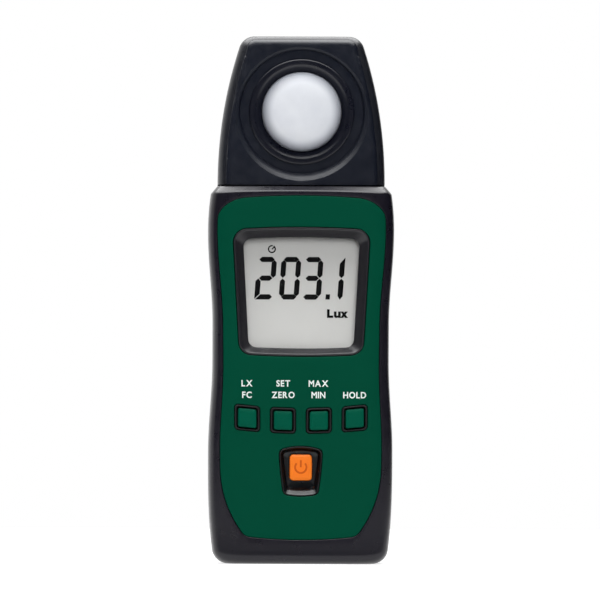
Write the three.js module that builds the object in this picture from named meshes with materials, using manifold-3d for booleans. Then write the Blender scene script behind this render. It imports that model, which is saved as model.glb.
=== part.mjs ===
// Pocket light meter: a waisted housing in a rubber jacket, with a fixed sensor head.
// Millimetres, +Z up. It stands on its flat foot, the front faces -Y and X runs to the right.
// The origin is the middle of the foot.

import * as THREE from "three";
import { mergeVertices } from "three/addons/utils/BufferGeometryUtils.js";
import Module from "manifold-3d";

const wasm = await Module();
wasm.setup();

// ---- Driving dimensions -----------------------------------------------------------------

// Clearances
const seam = 0.3; // between two pieces that meet or seat on each other
const slide = 0.2; // round a piece that slides in a hole
const root = 0.5; // how deep a post or rib runs into the wall that carries it
const sharpest = 0.6; // smallest corner radius of an inner surface

// Walls
const wall = 2.4; // front half: rubber jacket, seam and green case together
const jacket = 1.1; // the rubber alone
const rearWall = 2.2;
const partingShare = 0.58; // of the depth, taken by the front half

// Display stack, front to back
const flangeThickness = 0.6; // bezel flange behind the front wall
const windowThickness = 0.8;
const glassThickness = 1.6;
const holderFloor = 0.8;
const boardThickness = 1.2;

// Cells and their tub
const cellRadius = 5.25;
const cellLength = 43.5; // without the nub
const nubRadius = 1.9;
const nubHeight = 1;
const cellSpacing = 1; // between the two cells
const tubWall = 1;
const tubFoot = 6.6; // height of the tub's inner end
const contactThickness = 0.5;
const springHeight = 3.2;
const springFootRadius = 3.5;
const springTipRadius = 2.1;
const springWire = 0.35; // radius
const springTurns = 3.5;
const contactShare = 0.75; // width of a contact plate over the cell's

// Door
const doorThickness = 1.7;
const doorLap = 1.3; // how far the door reaches over the tub's walls
const doorCorner = 2.2;
const doorScrewRise = 3.8; // from the tub's inner end to the screw
const doorScrewLand = 3.4; // from the screw to the door's edge
const doorTabWidth = 4;
const doorTabReach = 1.2;
const doorTabThickness = 1;
const doorTabSpacing = 13;
const doorSwing = 1.6; // free depth that the tabs need in front of the door
const doorScrewBite = 3; // of the screw in its block
const doorBossHeight = 0.9; // land under the screw's head, inside the door
const doorBossWidth = 1; // of the land, round the head
const screwBlockHalfWidth = 5;
const screwBlockDepth = 4.5;

// Front layout, upwards
const baseToPowerWell = 17.1;
const powerWellHeight = 12.6;
const powerWellTopWidth = 11.2;
const powerWellFootWidth = 8.8;
const powerWellCorner = 2;
const powerWellDepth = 1.5;
const powerWellSlope = 0.7; // how far its walls lean in
const powerWellArch = 0.9; // drop of its top edge towards the corners
const powerWellRim = 0.3; // wall at the mouth, beside the front case
const powerKeyWidth = 5.8;
const powerKeyHeight = 6.75;
const powerKeyLift = 7.1; // centre above the well's foot
const powerKeyProud = 0.7;
const powerKeyCorner = 0.9;
const wellToKeys = 6.4; // well's top to the middle of the key row
const keyPitch = 9.03;
const keyArc = 140; // radius of the row's arc
const keyWidth = 4.7;
const keyHeight = 4.95;
const keyCorner = 0.5;
const keyProud = 0.6;
const keyTravel = 0.8;
const keyFlangeLap = 0.7;
const keyFlangeThickness = 0.8;
const keyPostRadius = 1.3;
const keyPostLength = 0.6;
const keyEdge = 0.35; // rounding of the cap's edge
const keyEdgeShare = 0.3; // of it, where the rounding is steepest
const keyCornerLeast = 0.2; // smallest corner radius of a key
const collarWall = 0.7;
const collarProud = 0.15;
const collarCorner = 1.1;
const keySheet = 0.8; // thickness
const sheetCorner = 2;
const switchWidth = 4.5;
const switchPlungerRadius = 1.2;
const switchPlungerHeight = 0.3;
const keysToDisplay = 16; // middle of the row to the display opening

// Display opening and the glass seen through it
const displayHeight = 33.1;
const displayTopHalfWidth = 17.5;
const displayFootHalfWidth = 15.75;
const displayBow = 0.45; // rise of the top and foot edges at the middle
const displayCorner = 3;
const bezelRim = 0.45;
const bezelInset = 3; // sloping walls, at the sides and top
const bezelFootInset = 2.4;
const bezelDepth = 2.2;
const bezelLap = 1.2; // of its flange behind the wall
const rimSunk = 0.15; // of the bezel's rim below the panel
const windowLap = 1.4; // of the window behind the bezel
const glassLap = 1.1; // of the glass behind the bezel, at the sides
const glassLapTop = 1.6;
const glassLapFoot = 1.8; // over the connector
const glassCorner = 0.3;
const holderWall = 0.9;
const connectorHeight = 1.8;
const connectorLength = 24;
const displayToLip = 8;

// Outer form. Half widths, and the heights where they are reached.
const footCorner = 3.4;
const footInset = 1.9; // narrower than the belly
const bellyHeight = 28;
const bellyOverLip = 0.42;
const waistLow = 50;
const waistHigh = 62;
const waistNip = 0.7; // narrower than the lip
const chestDrop = 9.2; // below the lip
const chestOverLip = 0.65;
const lipBow = 0.6; // rise of the front lip at the middle
const frontSquareness = 7;
const backSquareness = 5;
const backRoll = 0.5; // the back would be this much deeper, if it weren't flat
const cornerCrowding = 1.7; // how closely a ring's points gather at its corners
const bowReach = 5; // height below the lip over which the bow fades out

// Green panel
const panelMarginTop = 2.15;
const panelMarginFoot = 2.85;
const panelBrow = 1; // black strip between panel and lip
const panelFoot = 6.15;
const panelFootBow = 0.85;
const panelShoulderWidth = 7;
const panelShoulderHeight = 6;
const panelHipHeight = 25; // where its sides start to draw in
const panelFootHalfWidth = 14.2;
const panelFootTurn = 1.6; // start of the foot corner, before its end
const panelFootFlare = 0.9; // how far the corner ends outside it
const panelFootLift = 1.5; // and above it
const panelFlank = 9; // height over which the flank bends

// Shoulder and head
const shoulderRise = 2;
const shoulderSide = 1.76; // how far the shoulder draws in
const headSetBack = 3.5;
const headLean = 2.4; // how much further back the face lies at the top
const headFlare = 1.4; // wider at the shoulder than at the sensor
const headTaper = 6.3; // narrower at the top than at the shoulder
const headTaperPower = 2.1;
const headCorner = 2.6;
const headBackStep = 1.5;
const headBackEase = 12; // height over which the back steps in behind the head
const frameWidth = 1.9; // edge band of the rear case beside the cover
const frameTopWidth = 0.84; // and above it
const coverThickness = 2.2;
const coverChamfer = 0.9;
const coverLand = 0.9; // between the recess and the cover's edge, at the sides
const coverLandFoot = 1;
const coverLandTop = 0.9;
const coverCorner = 3.5;

// Sensor
const recessFloorRadius = 15.64;
const recessFlare = 0.57; // radius gained for each millimetre of depth
const recessFloorBehindFront = 6.7; // floor behind the body's front face
const recessFloorThickness = 1.6;
const cupWall = 1.1;
const collarFlangeRadius = 13.25;
const collarFlangeThickness = 0.5;
const collarSpigotRadius = 12.2;
const collarMouthRadius = 12;
const collarChamfer = 0.25;
const domeRadius = 10.05;
const domeRise = 4.9;
const domeFlange = 1.2; // width and thickness of the rim that holds the dome
const domeWall = 1.2;
const sensorTubeWall = 1.2;
const sensorTubeLength = 4.4;
const sensorBoardThickness = 1.2;
const diodeRadius = 4.1;
const diodeHeight = 3.2;
const filterRadius = 3.6;
const filterThickness = 1.1;

// Screws, bosses and posts
const bossRadius = 2.2;
const screwRadius = 1;
const screwHeadRadius = 2.2;
const screwHeadHeight = 1.3;
const screwHeadSunk = 0.5;
const screwBite = 4; // length in the front boss
const screwHole = 5; // depth of the hole in the boss
const screwTaper = 0.8; // length of the point
const headBossRadius = 1.8;
const headBossAngle = 48; // degrees up from the sensor's level
const postRadius = 1.6;
const pinRadius = 0.7;
const caseScrewFoot = 10;
const caseScrewSplay = 1; // how much further out the upper pair stands
const screwHeadRound = 0.3; // share of the head's radius that its edge takes
const footPostShare = 0.6; // of the tub's half width, where the lower posts stand

// Small electronics
const controllerRadius = 5;
const controllerHeight = 1.2;
const controllerRise = 4; // above the middle of the display
const controllerCrown = 0.8; // share of its radius and height where its top flattens
const ribbonWidth = 7;
const ribbonThickness = 0.4;
const ribbonLap = 6; // over each of the two boards
const ribbonStraight = 1; // between a board and the bend
const ribbonPull = 6; // how far the bend keeps each end's direction

// Facets
const ringSteps = 8; // round a quarter of the housing
const cavitySteps = 4; // round a quarter of a surface that nobody sees
const roundSteps = 36; // round the sensor
const cellSteps = 20; // round a cell
const smallSteps = 12; // round a screw or pin

// ---- Derived dimensions -----------------------------------------------------------------

// Depths. The housing is as deep as its wall, display, board, cells and door need.
const displayStack =
  flangeThickness + windowThickness + glassThickness + holderFloor + 5 * seam;
const cellStack = tubWall + 2 * cellRadius + 3 * seam + doorThickness;
const depth = wall + displayStack + boardThickness + cellStack;
const frontFace = -depth / 2;
const backFace = depth / 2;
const wallBack = frontFace + wall;
const flangeFront = wallBack + seam;
const windowFront = flangeFront + flangeThickness + seam;
const glassFront = windowFront + windowThickness + seam;
const holderFront = glassFront + glassThickness + seam;
const boardFront = holderFront + holderFloor + seam;
const boardBack = boardFront + boardThickness;
const tubFront = boardBack + seam;
const tubFloor = tubFront + tubWall;
const cellAxis = tubFloor + seam + cellRadius;
const doorInner = backFace - doorThickness;
const parting = frontFace + partingShare * depth; // where the front and rear cases meet

// Heights of the front layout
const powerKeyMiddle = baseToPowerWell + powerKeyLift;
const keyRow = baseToPowerWell + powerWellHeight + wellToKeys;
const displayFoot = keyRow + keysToDisplay;
const displayTop = displayFoot + displayHeight;
const lipHeight = displayTop + displayToLip;
const shoulderHeight = lipHeight + shoulderRise;
const chestHeight = lipHeight - chestDrop;
const panelTop = lipHeight + lipBow - panelBrow;

// Sensor and head
const faceRoot = frontFace + headSetBack; // the head's face, at the shoulder
const recessFloor = frontFace + recessFloorBehindFront;
const recessBack = recessFloor + recessFloorThickness;
const rimFoot = recessFloorRadius + recessFlare * (recessFloor - faceRoot);
const coverFoot = shoulderHeight + seam;
const sensorHeight = coverFoot + coverLandFoot + rimFoot;
const rimTop = rimFoot - recessFlare * headLean;
const overallHeight =
  sensorHeight + rimTop + coverLandTop + coverChamfer + seam + frameTopWidth;
const headRise = overallHeight - shoulderHeight;
const rimSide = recessFloorRadius + recessFlare * (recessFloor - headFace(sensorHeight));
const headRootHalfWidth = rimSide + coverLand + frameWidth + headFlare;
const lipHalfWidth = headRootHalfWidth + shoulderSide;
const chestHalfWidth = lipHalfWidth + chestOverLip;
const waistHalfWidth = lipHalfWidth - waistNip;
const bellyHalfWidth = lipHalfWidth + bellyOverLip;

// Tub and door
const tubHalfWidth = 2 * cellRadius + cellSpacing / 2 + seam;
const tubOuterHalfWidth = tubHalfWidth + tubWall;
const cellOffset = cellRadius + cellSpacing / 2;
const contactFace = tubFoot + seam / 2 + contactThickness; // top of the lower contact
const springFoot = contactFace + seam;
const cellFoot = springFoot + springHeight + seam; // the left cell stands on its spring
const upperContact = cellFoot + cellLength + nubHeight + seam;
const tubTop = upperContact + contactThickness + seam / 2;
const flippedTop = contactFace + seam + nubHeight + cellLength; // the right cell hangs nub down
const doorHalfWidth = tubHalfWidth + doorLap;
const doorFoot = tubFoot - 0.5 * doorLap;
const doorScrewHeight = tubTop + doorScrewRise;
const doorTop = doorScrewHeight + doorScrewLand;
const doorBossRadius = screwHeadRadius + doorBossWidth;

// Screws and bosses
const caseScrewHalfSpacing = tubOuterHalfWidth + 2 * seam + bossRadius;
const caseScrewTop = displayTop + bezelLap + seam + bossRadius;
const bossEnd = parting - seam;
const headBossReach = recessFloorRadius + cupWall + 0.5 * headBossRadius;
const headBossTurn = (headBossAngle * Math.PI) / 180;
const headBossHalfSpacing = headBossReach * Math.cos(headBossTurn);
const headBossHeight = sensorHeight + headBossReach * Math.sin(headBossTurn);

// ---- Outer form -------------------------------------------------------------------------

function mix(a, b, t) {
  return a + (b - a) * t;
}

function clamp01(t) {
  return Math.min(1, Math.max(0, t));
}

function ease(t) {
  return (1 - Math.cos(Math.PI * clamp01(t))) / 2;
}

// Half width of the body: foot, belly, waist, chest, lip.
function bodyHalfWidth(z) {
  if (z <= bellyHeight) {
    const below = (bellyHeight - z) / bellyHeight;
    return bellyHalfWidth - footInset * below ** 3;
  }
  if (z <= waistHigh) {
    const t = (z - bellyHeight) / (waistLow - bellyHeight);
    return mix(bellyHalfWidth, waistHalfWidth, ease(t));
  }
  if (z <= chestHeight) {
    const t = (z - waistHigh) / (chestHeight - waistHigh);
    return mix(waistHalfWidth, chestHalfWidth, ease(t));
  }
  const t = (z - chestHeight) / chestDrop;
  return mix(chestHalfWidth, lipHalfWidth, t * t);
}

// Half width of the head, which draws in faster and faster towards the top.
function headHalfWidth(z) {
  const up = clamp01((z - shoulderHeight) / headRise);
  return headRootHalfWidth - headTaper * up ** headTaperPower;
}

// The head's face leans back: its Y at height z.
function headFace(z) {
  return faceRoot + (headLean * (z - shoulderHeight)) / headRise;
}

function backAt(z) {
  return backFace - headBackStep * ease((z - lipHeight) / headBackEase);
}

// The front lip rises to the middle.
function lipRise(x, y, z) {
  const below = (z - lipHeight + bowReach) / bowReach;
  const above = (shoulderHeight - z) / shoulderRise;
  const near = z < lipHeight ? below : above;
  const across = 1 - (x / lipHalfWidth) ** 2;
  return lipBow * clamp01(near) * clamp01(across) * clamp01(y / frontFace);
}

// One level ring of the housing: a rounded oblong with squarer front corners and a flat back.
function housingRing({ z, halfWidth, front, back }, steps) {
  const middle = (front + back) / 2;
  const points = [];
  for (let i = 0; i < 4 * steps; i++) {
    const quarter = Math.floor(i / steps);
    const u = 1 - (2 * (i % steps)) / steps;
    const angle =
      (Math.PI / 2) * quarter +
      (Math.PI / 4) * (1 - Math.sign(u) * Math.abs(u) ** cornerCrowding);
    const c = Math.cos(angle);
    const s = Math.sin(angle);
    const power = s < 0 ? frontSquareness : backSquareness;
    const reach = (Math.abs(c) ** power + Math.abs(s) ** power) ** (-1 / power);
    const halfDepth = s < 0 ? middle - front : back - middle + backRoll;
    const x = halfWidth * reach * c;
    const y = Math.min(middle + halfDepth * reach * s, back);
    points.push(new THREE.Vector3(x, y, z + lipRise(x, y, z)));
  }
  return points;
}

// The levels of the housing, or of a surface lying `inset` inside it.
function housingLevels(inset, coarse) {
  const steps = coarse ? 2 : 1;
  const levels = [];
  const add = (z, halfWidth, front, back) => levels.push({ z, halfWidth, front, back });
  const round = (radius) => Math.max(radius - inset, sharpest);

  const footRadius = round(footCorner);
  const footSteps = coarse ? 2 : 4;
  for (let i = 0; i < footSteps; i++) {
    const angle = ((Math.PI / 2) * i) / footSteps;
    const z = inset + footRadius * (1 - Math.cos(angle));
    const drawIn = inset + footRadius * (1 - Math.sin(angle));
    add(z, bodyHalfWidth(z) - drawIn, frontFace + drawIn, backFace - drawIn);
  }

  const slope = Math.atan2(shoulderRise, headSetBack);
  const drop = (inset * (1 - Math.sin(slope))) / Math.cos(slope);
  const bodyFoot = inset + footRadius;
  const bodyTop = lipHeight - drop;
  const bodySteps = 16 / steps;
  for (let i = 0; i <= bodySteps; i++) {
    const z = mix(bodyFoot, bodyTop, i / bodySteps);
    add(z, bodyHalfWidth(z) - inset, frontFace + inset, backAt(z) - inset);
  }

  const headRadius = round(headCorner);
  const headFoot = shoulderHeight - drop;
  const headTop = overallHeight - inset - headRadius;
  const headSteps = 8 / steps;
  for (let i = 0; i <= headSteps; i++) {
    const z = mix(headFoot, headTop, i / headSteps);
    add(z, headHalfWidth(z) - inset, headFace(z) + inset, backAt(z) - inset);
  }
  const topSteps = coarse ? 2 : 4;
  for (let i = 1; i <= topSteps; i++) {
    const angle = ((Math.PI / 2) * i) / topSteps;
    const z = headTop + headRadius * Math.sin(angle);
    const drawIn = inset + headRadius * (1 - Math.cos(angle));
    add(z, headHalfWidth(z) - drawIn, headFace(z) + drawIn, backAt(z) - drawIn);
  }
  return levels;
}

// ---- Making solids ----------------------------------------------------------------------

// A closed geometry as a solid that can be cut and joined.
function solid(geometry, matrix) {
  const plain = geometry.clone();
  if (matrix) plain.applyMatrix4(matrix);
  plain.deleteAttribute("normal");
  plain.deleteAttribute("uv");
  const merged = mergeVertices(plain, 1e-4);
  const corners = merged.index.array;
  const kept = [];
  for (let i = 0; i < corners.length; i += 3) {
    const [a, b, c] = [corners[i], corners[i + 1], corners[i + 2]];
    if (a !== b && b !== c && c !== a) kept.push(a, b, c);
  }
  const build = (order) =>
    new wasm.Manifold(
      new wasm.Mesh({
        numProp: 3,
        vertProperties: new Float32Array(merged.attributes.position.array),
        triVerts: new Uint32Array(order),
      }),
    );
  const made = build(kept);
  return made.volume() < 0 ? build(kept.reverse()) : made;
}

function indexed(points, triangles) {
  const geometry = new THREE.BufferGeometry();
  geometry.setAttribute(
    "position",
    new THREE.Float32BufferAttribute(points.flatMap((p) => p.toArray()), 3),
  );
  geometry.setIndex(triangles);
  return geometry;
}

// A skin over rings with equally many points, with a fan on each end, or closed on itself.
function loft(rings, { closed = false } = {}) {
  const count = rings[0].length;
  const points = rings.flat();
  const triangles = [];
  const last = closed ? rings.length : rings.length - 1;
  for (let r = 0; r < last; r++) {
    const lower = r * count;
    const upper = ((r + 1) % rings.length) * count;
    for (let i = 0; i < count; i++) {
      const j = (i + 1) % count;
      triangles.push(lower + i, lower + j, upper + j);
      triangles.push(lower + i, upper + j, upper + i);
    }
  }
  if (!closed) {
    const ends = [
      [0, true],
      [(rings.length - 1) * count, false],
    ];
    for (const [start, down] of ends) {
      const middle = new THREE.Vector3();
      for (let i = 0; i < count; i++) middle.addScaledVector(points[start + i], 1 / count);
      const centre = points.push(middle) - 1;
      for (let i = 0; i < count; i++) {
        const j = (i + 1) % count;
        if (down) triangles.push(start + j, start + i, centre);
        else triangles.push(start + i, start + j, centre);
      }
    }
  }
  return indexed(points, triangles);
}

// A flat outline, drawn in X and Z, as a slab from the depth `front` back to `back`.
function slab(shape, front, back, curveSegments = 4) {
  const options = { depth: back - front, bevelEnabled: false, curveSegments };
  const geometry = new THREE.ExtrudeGeometry(shape, options);
  geometry.rotateX(Math.PI / 2);
  geometry.translate(0, back, 0);
  return geometry;
}

function box(x0, x1, y0, y1, z0, z1) {
  const geometry = new THREE.BoxGeometry(x1 - x0, y1 - y0, z1 - z0);
  geometry.translate((x0 + x1) / 2, (y0 + y1) / 2, (z0 + z1) / 2);
  return geometry;
}

// A round bar along Y.
function rod(radius, front, back, x, z, steps = smallSteps) {
  const geometry = new THREE.CylinderGeometry(radius, radius, back - front, steps);
  geometry.translate(x, (front + back) / 2, z);
  return geometry;
}

// A profile of [radius, depth] pairs, turned about an axis along Y.
function turned(profile, x, z, steps = roundSteps) {
  const points = profile.map(([r, y]) => new THREE.Vector2(r, y));
  const onAxis = profile[0][0] === 0;
  if (!onAxis) points.push(points[0].clone());
  const geometry = new THREE.LatheGeometry(points, steps);
  geometry.translate(x, 0, z);
  return geometry;
}

function oblong(halfWidth, halfHeight, corner, x = 0, z = 0) {
  const r = Math.min(corner, halfWidth, halfHeight);
  const shape = new THREE.Shape();
  shape.absarc(x + halfWidth - r, z - halfHeight + r, r, -Math.PI / 2, 0);
  shape.absarc(x + halfWidth - r, z + halfHeight - r, r, 0, Math.PI / 2);
  shape.absarc(x - halfWidth + r, z + halfHeight - r, r, Math.PI / 2, Math.PI);
  shape.absarc(x - halfWidth + r, z - halfHeight + r, r, Math.PI, 1.5 * Math.PI);
  return shape;
}

// The points of an outline at depth y, as a ring for a loft.
function ringOf(shape, y, steps = 4) {
  const points = shape.getPoints(steps);
  const first = points[0];
  const lastPoint = points[points.length - 1];
  if (first.distanceTo(lastPoint) < 1e-6) points.pop();
  return points.map((p) => new THREE.Vector3(p.x, typeof y === "function" ? y(p.y) : y, p.y));
}

const group = new THREE.Group();

function addPiece(name, shape, finish) {
  const mesh = shape.getMesh();
  const geometry = new THREE.BufferGeometry();
  geometry.setAttribute("position", new THREE.BufferAttribute(mesh.vertProperties, 3));
  geometry.setIndex(new THREE.BufferAttribute(mesh.triVerts, 1));
  geometry.computeVertexNormals();
  const piece = new THREE.Mesh(geometry, new THREE.MeshStandardMaterial(finish));
  piece.name = name;
  group.add(piece);
}

const green = { color: 0x034a33, roughness: 0.5, metalness: 0 };
const keyGreen = { color: 0x005240, roughness: 0.45, metalness: 0 };
const blackRubber = { color: 0x26272c, roughness: 0.7, metalness: 0 };
const blackPlastic = { color: 0x1c1f26, roughness: 0.4, metalness: 0 };
const orange = { color: 0xfa7d1e, roughness: 0.45, metalness: 0 };
const opal = { color: 0xe6e8ec, roughness: 0.55, metalness: 0 };
const clear = { color: 0xf2f5f5, roughness: 0.05, metalness: 0 };
const displayGrey = { color: 0xc0c0bf, roughness: 0.3, metalness: 0 };
const white = { color: 0xe8e6e0, roughness: 0.5, metalness: 0 };
const boardGreen = { color: 0x1d5a35, roughness: 0.5, metalness: 0 };
const steel = { color: 0xb8bbbf, roughness: 0.3, metalness: 1 };
const cellSleeve = { color: 0x33363b, roughness: 0.35, metalness: 0.2 };
const filterGlass = { color: 0x5f8f6a, roughness: 0.1, metalness: 0 };

// ---- Outlines on the front --------------------------------------------------------------

// The display opening, grown by `grow`, or the smaller glass when drawn in by the bezel.
function displayOutline(grow, inset = 0, insetAtFoot = inset) {
  const top = displayTop + grow - inset;
  const foot = displayFoot - grow + insetAtFoot;
  const corner = Math.max(displayCorner + grow - inset / 2, sharpest);
  const sideAt = (z) =>
    mix(displayFootHalfWidth, displayTopHalfWidth, (z - displayFoot) / displayHeight) +
    grow -
    inset;
  const bowAt = (x) => displayBow * (1 - (x / displayTopHalfWidth) ** 2);
  const points = [];
  const half = [];
  const footCentre = sideAt(foot + corner) - corner;
  const topCentre = sideAt(top - corner) - corner;
  const straight = 3;
  const turn = 5;
  for (let i = 0; i < straight; i++) {
    half.push([(footCentre * i) / straight, foot, -1]);
  }
  for (let i = 0; i <= turn; i++) {
    const a = ((Math.PI / 2) * i) / turn;
    half.push([footCentre + corner * Math.sin(a), foot + corner * (1 - Math.cos(a)), -1]);
  }
  for (let i = 0; i <= turn; i++) {
    const a = ((Math.PI / 2) * i) / turn;
    half.push([topCentre + corner * Math.cos(a), top - corner * (1 - Math.sin(a)), 1]);
  }
  for (let i = 1; i <= straight; i++) {
    half.push([topCentre * (1 - i / straight), top, 1]);
  }
  for (const [x, z, side] of half) {
    points.push(new THREE.Vector2(x, z + side * bowAt(x)));
  }
  for (let i = half.length - 2; i > 0; i--) {
    points.push(new THREE.Vector2(-points[i].x, points[i].y));
  }
  return new THREE.Shape(points);
}

// The green panel's outline, grown by `grow`.
function panelOutline(grow) {
  const sideAt = (z) => {
    const t = clamp01((z - panelHipHeight) / (chestHeight - panelHipHeight));
    return bodyHalfWidth(z) - mix(panelMarginFoot, panelMarginTop, t) + grow;
  };
  const half = [];
  const footAt = (x) => panelFoot - grow + panelFootBow * (x / panelFootHalfWidth) ** 2;
  const footSteps = 5;
  for (let i = 0; i < footSteps; i++) {
    const x = ((panelFootHalfWidth - panelFootTurn) * i) / footSteps;
    half.push([x, footAt(x)]);
  }
  const hip = sideAt(panelHipHeight);
  const corner = new THREE.Vector2(panelFootHalfWidth + grow, footAt(panelFootHalfWidth));
  const turnStart = corner.x - panelFootTurn;
  const turnEnd = new THREE.Vector2(corner.x + panelFootFlare, corner.y + panelFootLift);
  const footTurn = new THREE.QuadraticBezierCurve(
    new THREE.Vector2(turnStart, footAt(turnStart)),
    corner,
    turnEnd,
  );
  const flank = new THREE.QuadraticBezierCurve(
    turnEnd,
    new THREE.Vector2(hip, panelHipHeight - panelFlank),
    new THREE.Vector2(hip, panelHipHeight),
  );
  for (const p of footTurn.getPoints(3)) half.push([p.x, p.y]);
  for (const p of flank.getPoints(8).slice(1)) half.push([p.x, p.y]);
  const shoulderFoot = panelTop + grow - panelShoulderHeight;
  const sideSteps = 12;
  for (let i = 1; i < sideSteps; i++) {
    const z = mix(panelHipHeight, shoulderFoot, i / sideSteps);
    half.push([sideAt(z), z]);
  }
  const shoulderEnd = sideAt(shoulderFoot) - panelShoulderWidth;
  const browAt = (x) => panelTop + grow - lipBow * (x / lipHalfWidth) ** 2;
  const turn = 6;
  for (let i = 0; i <= turn; i++) {
    const a = ((Math.PI / 2) * i) / turn;
    const x = shoulderEnd + panelShoulderWidth * Math.cos(a);
    const z = mix(shoulderFoot, browAt(x), Math.sin(a));
    half.push([x, z]);
  }
  const browSteps = 4;
  for (let i = 1; i <= browSteps; i++) {
    const x = shoulderEnd * (1 - i / browSteps);
    half.push([x, browAt(x)]);
  }
  const points = half.map(([x, z]) => new THREE.Vector2(x, z));
  for (let i = half.length - 2; i > 0; i--) {
    points.push(new THREE.Vector2(-half[i][0], half[i][1]));
  }
  return new THREE.Shape(points);
}

// The head's outline, drawn in by `inset`, down to the height `foot`.
function headOutline(inset, foot) {
  const corner = Math.max(coverCorner - inset / 2, sharpest);
  const top = overallHeight - inset + frameWidth - frameTopWidth;
  const sideTop = top - corner;
  const half = [];
  const sideSteps = 8;
  for (let i = 0; i <= sideSteps; i++) {
    const z = mix(foot, sideTop, i / sideSteps);
    half.push([headHalfWidth(z) - inset, z]);
  }
  const centre = headHalfWidth(sideTop) - inset - corner;
  const turn = 5;
  for (let i = 1; i <= turn; i++) {
    const a = ((Math.PI / 2) * i) / turn;
    half.push([centre + corner * Math.cos(a), sideTop + corner * Math.sin(a)]);
  }
  const points = half.map(([x, z]) => new THREE.Vector2(x, z));
  for (let i = half.length - 1; i >= 0; i--) {
    points.push(new THREE.Vector2(-half[i][0], half[i][1]));
  }
  return new THREE.Shape(points);
}

// The battery door's outline, grown by `grow` for its opening.
function doorOutline(grow) {
  const halfHeight = (doorTop - doorFoot) / 2 + grow;
  const corner = doorCorner + grow;
  return oblong(doorHalfWidth + grow, halfHeight, corner, 0, (doorTop + doorFoot) / 2);
}

// The power key's well is arched at the top and narrower at the foot.
function powerWellOutline(grow, inset = 0) {
  const topHalf = powerWellTopWidth / 2 + grow - inset;
  const footHalf = powerWellFootWidth / 2 + grow - inset;
  const corner = Math.max(powerWellCorner + grow - inset, sharpest);
  const top = baseToPowerWell + powerWellHeight + grow - inset;
  const foot = baseToPowerWell - grow + inset;
  const side = top - powerWellArch;
  const archEnd = top - powerWellArch / 2;
  const lean = ((topHalf - footHalf) * corner) / powerWellHeight;
  const shape = new THREE.Shape();
  shape.moveTo(-footHalf + corner, foot);
  shape.lineTo(footHalf - corner, foot);
  shape.quadraticCurveTo(footHalf, foot, footHalf + lean, foot + corner);
  shape.lineTo(topHalf, side - corner);
  shape.quadraticCurveTo(topHalf, side, topHalf - corner, archEnd);
  shape.quadraticCurveTo(0, top + powerWellArch / 2, -topHalf + corner, archEnd);
  shape.quadraticCurveTo(-topHalf, side, -topHalf, side - corner);
  shape.lineTo(-footHalf - lean, foot + corner);
  shape.quadraticCurveTo(-footHalf, foot, -footHalf + corner, foot);
  return shape;
}

// ---- Key places -------------------------------------------------------------------------

const keyNames = ["key_1_units", "key_2_zero", "key_3_peak", "key_4_hold"];
const keyPlaces = keyNames.map((name, i) => {
  const angle = ((i - 1.5) * keyPitch) / keyArc;
  const x = keyArc * Math.sin(angle);
  const z = keyRow + keyArc * (1 - Math.cos(angle));
  const matrix = new THREE.Matrix4().makeRotationY(-angle);
  matrix.setPosition(x, 0, z);
  return { name, x, z, matrix };
});
const outerKey = keyPlaces[keyPlaces.length - 1];
const collarHalfWidth = keyWidth / 2 + slide + collarWall;
const collarHalfHeight = keyHeight / 2 + slide + collarWall;
const sheetHalfWidth = outerKey.x + collarHalfWidth + bezelLap;
const sheetFoot = keyRow - collarHalfHeight - bezelLap;
const sheetTop = outerKey.z + collarHalfHeight + bezelLap;
const sheetBack = flangeFront + keySheet;
const keyFlangeFront = sheetBack + seam;
const keyFlangeBack = keyFlangeFront + keyFlangeThickness;
const plungerTop = keyFlangeBack + keyPostLength + keyTravel + seam;

// The rubber sheet that carries the four collars.
function sheetOutline(grow) {
  const halfHeight = (sheetTop - sheetFoot) / 2 + grow;
  return oblong(sheetHalfWidth + grow, halfHeight, sheetCorner, 0, (sheetTop + sheetFoot) / 2);
}

// ---- Shared shells ----------------------------------------------------------------------

function housing(inset, coarse) {
  const steps = coarse ? cavitySteps : ringSteps;
  return solid(loft(housingLevels(inset, coarse).map((level) => housingRing(level, steps))));
}

const outside = housing(0, false);
const underJacket = housing(jacket, true);
const caseOutside = housing(jacket + seam, true);
const frontCavity = housing(wall, true);
const rearCavity = housing(rearWall, true);
const far = 60;
const frontHalf = solid(box(-far, far, -far, parting - seam / 2, -far, shoulderHeight));
const rearHalf = solid(box(-far, far, parting + seam / 2, far, -far, far * 4)).add(
  solid(box(-far, far, -far, far, coverFoot, far * 4)),
);

// ---- Case -------------------------------------------------------------------------------

// Bosses at the front of the body take the case screws. Posts with a pin carry the board.
const caseScrews = [
  [-caseScrewHalfSpacing, caseScrewFoot],
  [caseScrewHalfSpacing, caseScrewFoot],
  [-caseScrewHalfSpacing - caseScrewSplay, caseScrewTop],
  [caseScrewHalfSpacing + caseScrewSplay, caseScrewTop],
];
const postFoot = baseToPowerWell - bezelLap - seam - 2 * postRadius;
const postTop = displayFoot - bezelLap - 2 * seam - 2 * postRadius;
const boardPosts = [
  [-footPostShare * tubHalfWidth, postFoot],
  [footPostShare * tubHalfWidth, postFoot],
  [-outerKey.x, postTop],
  [outerKey.x, postTop],
];

function makeGripSurround() {
  const panelHole = solid(slab(panelOutline(seam), -far, far));
  return outside.subtract(underJacket).intersect(frontHalf).subtract(panelHole);
}

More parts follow.
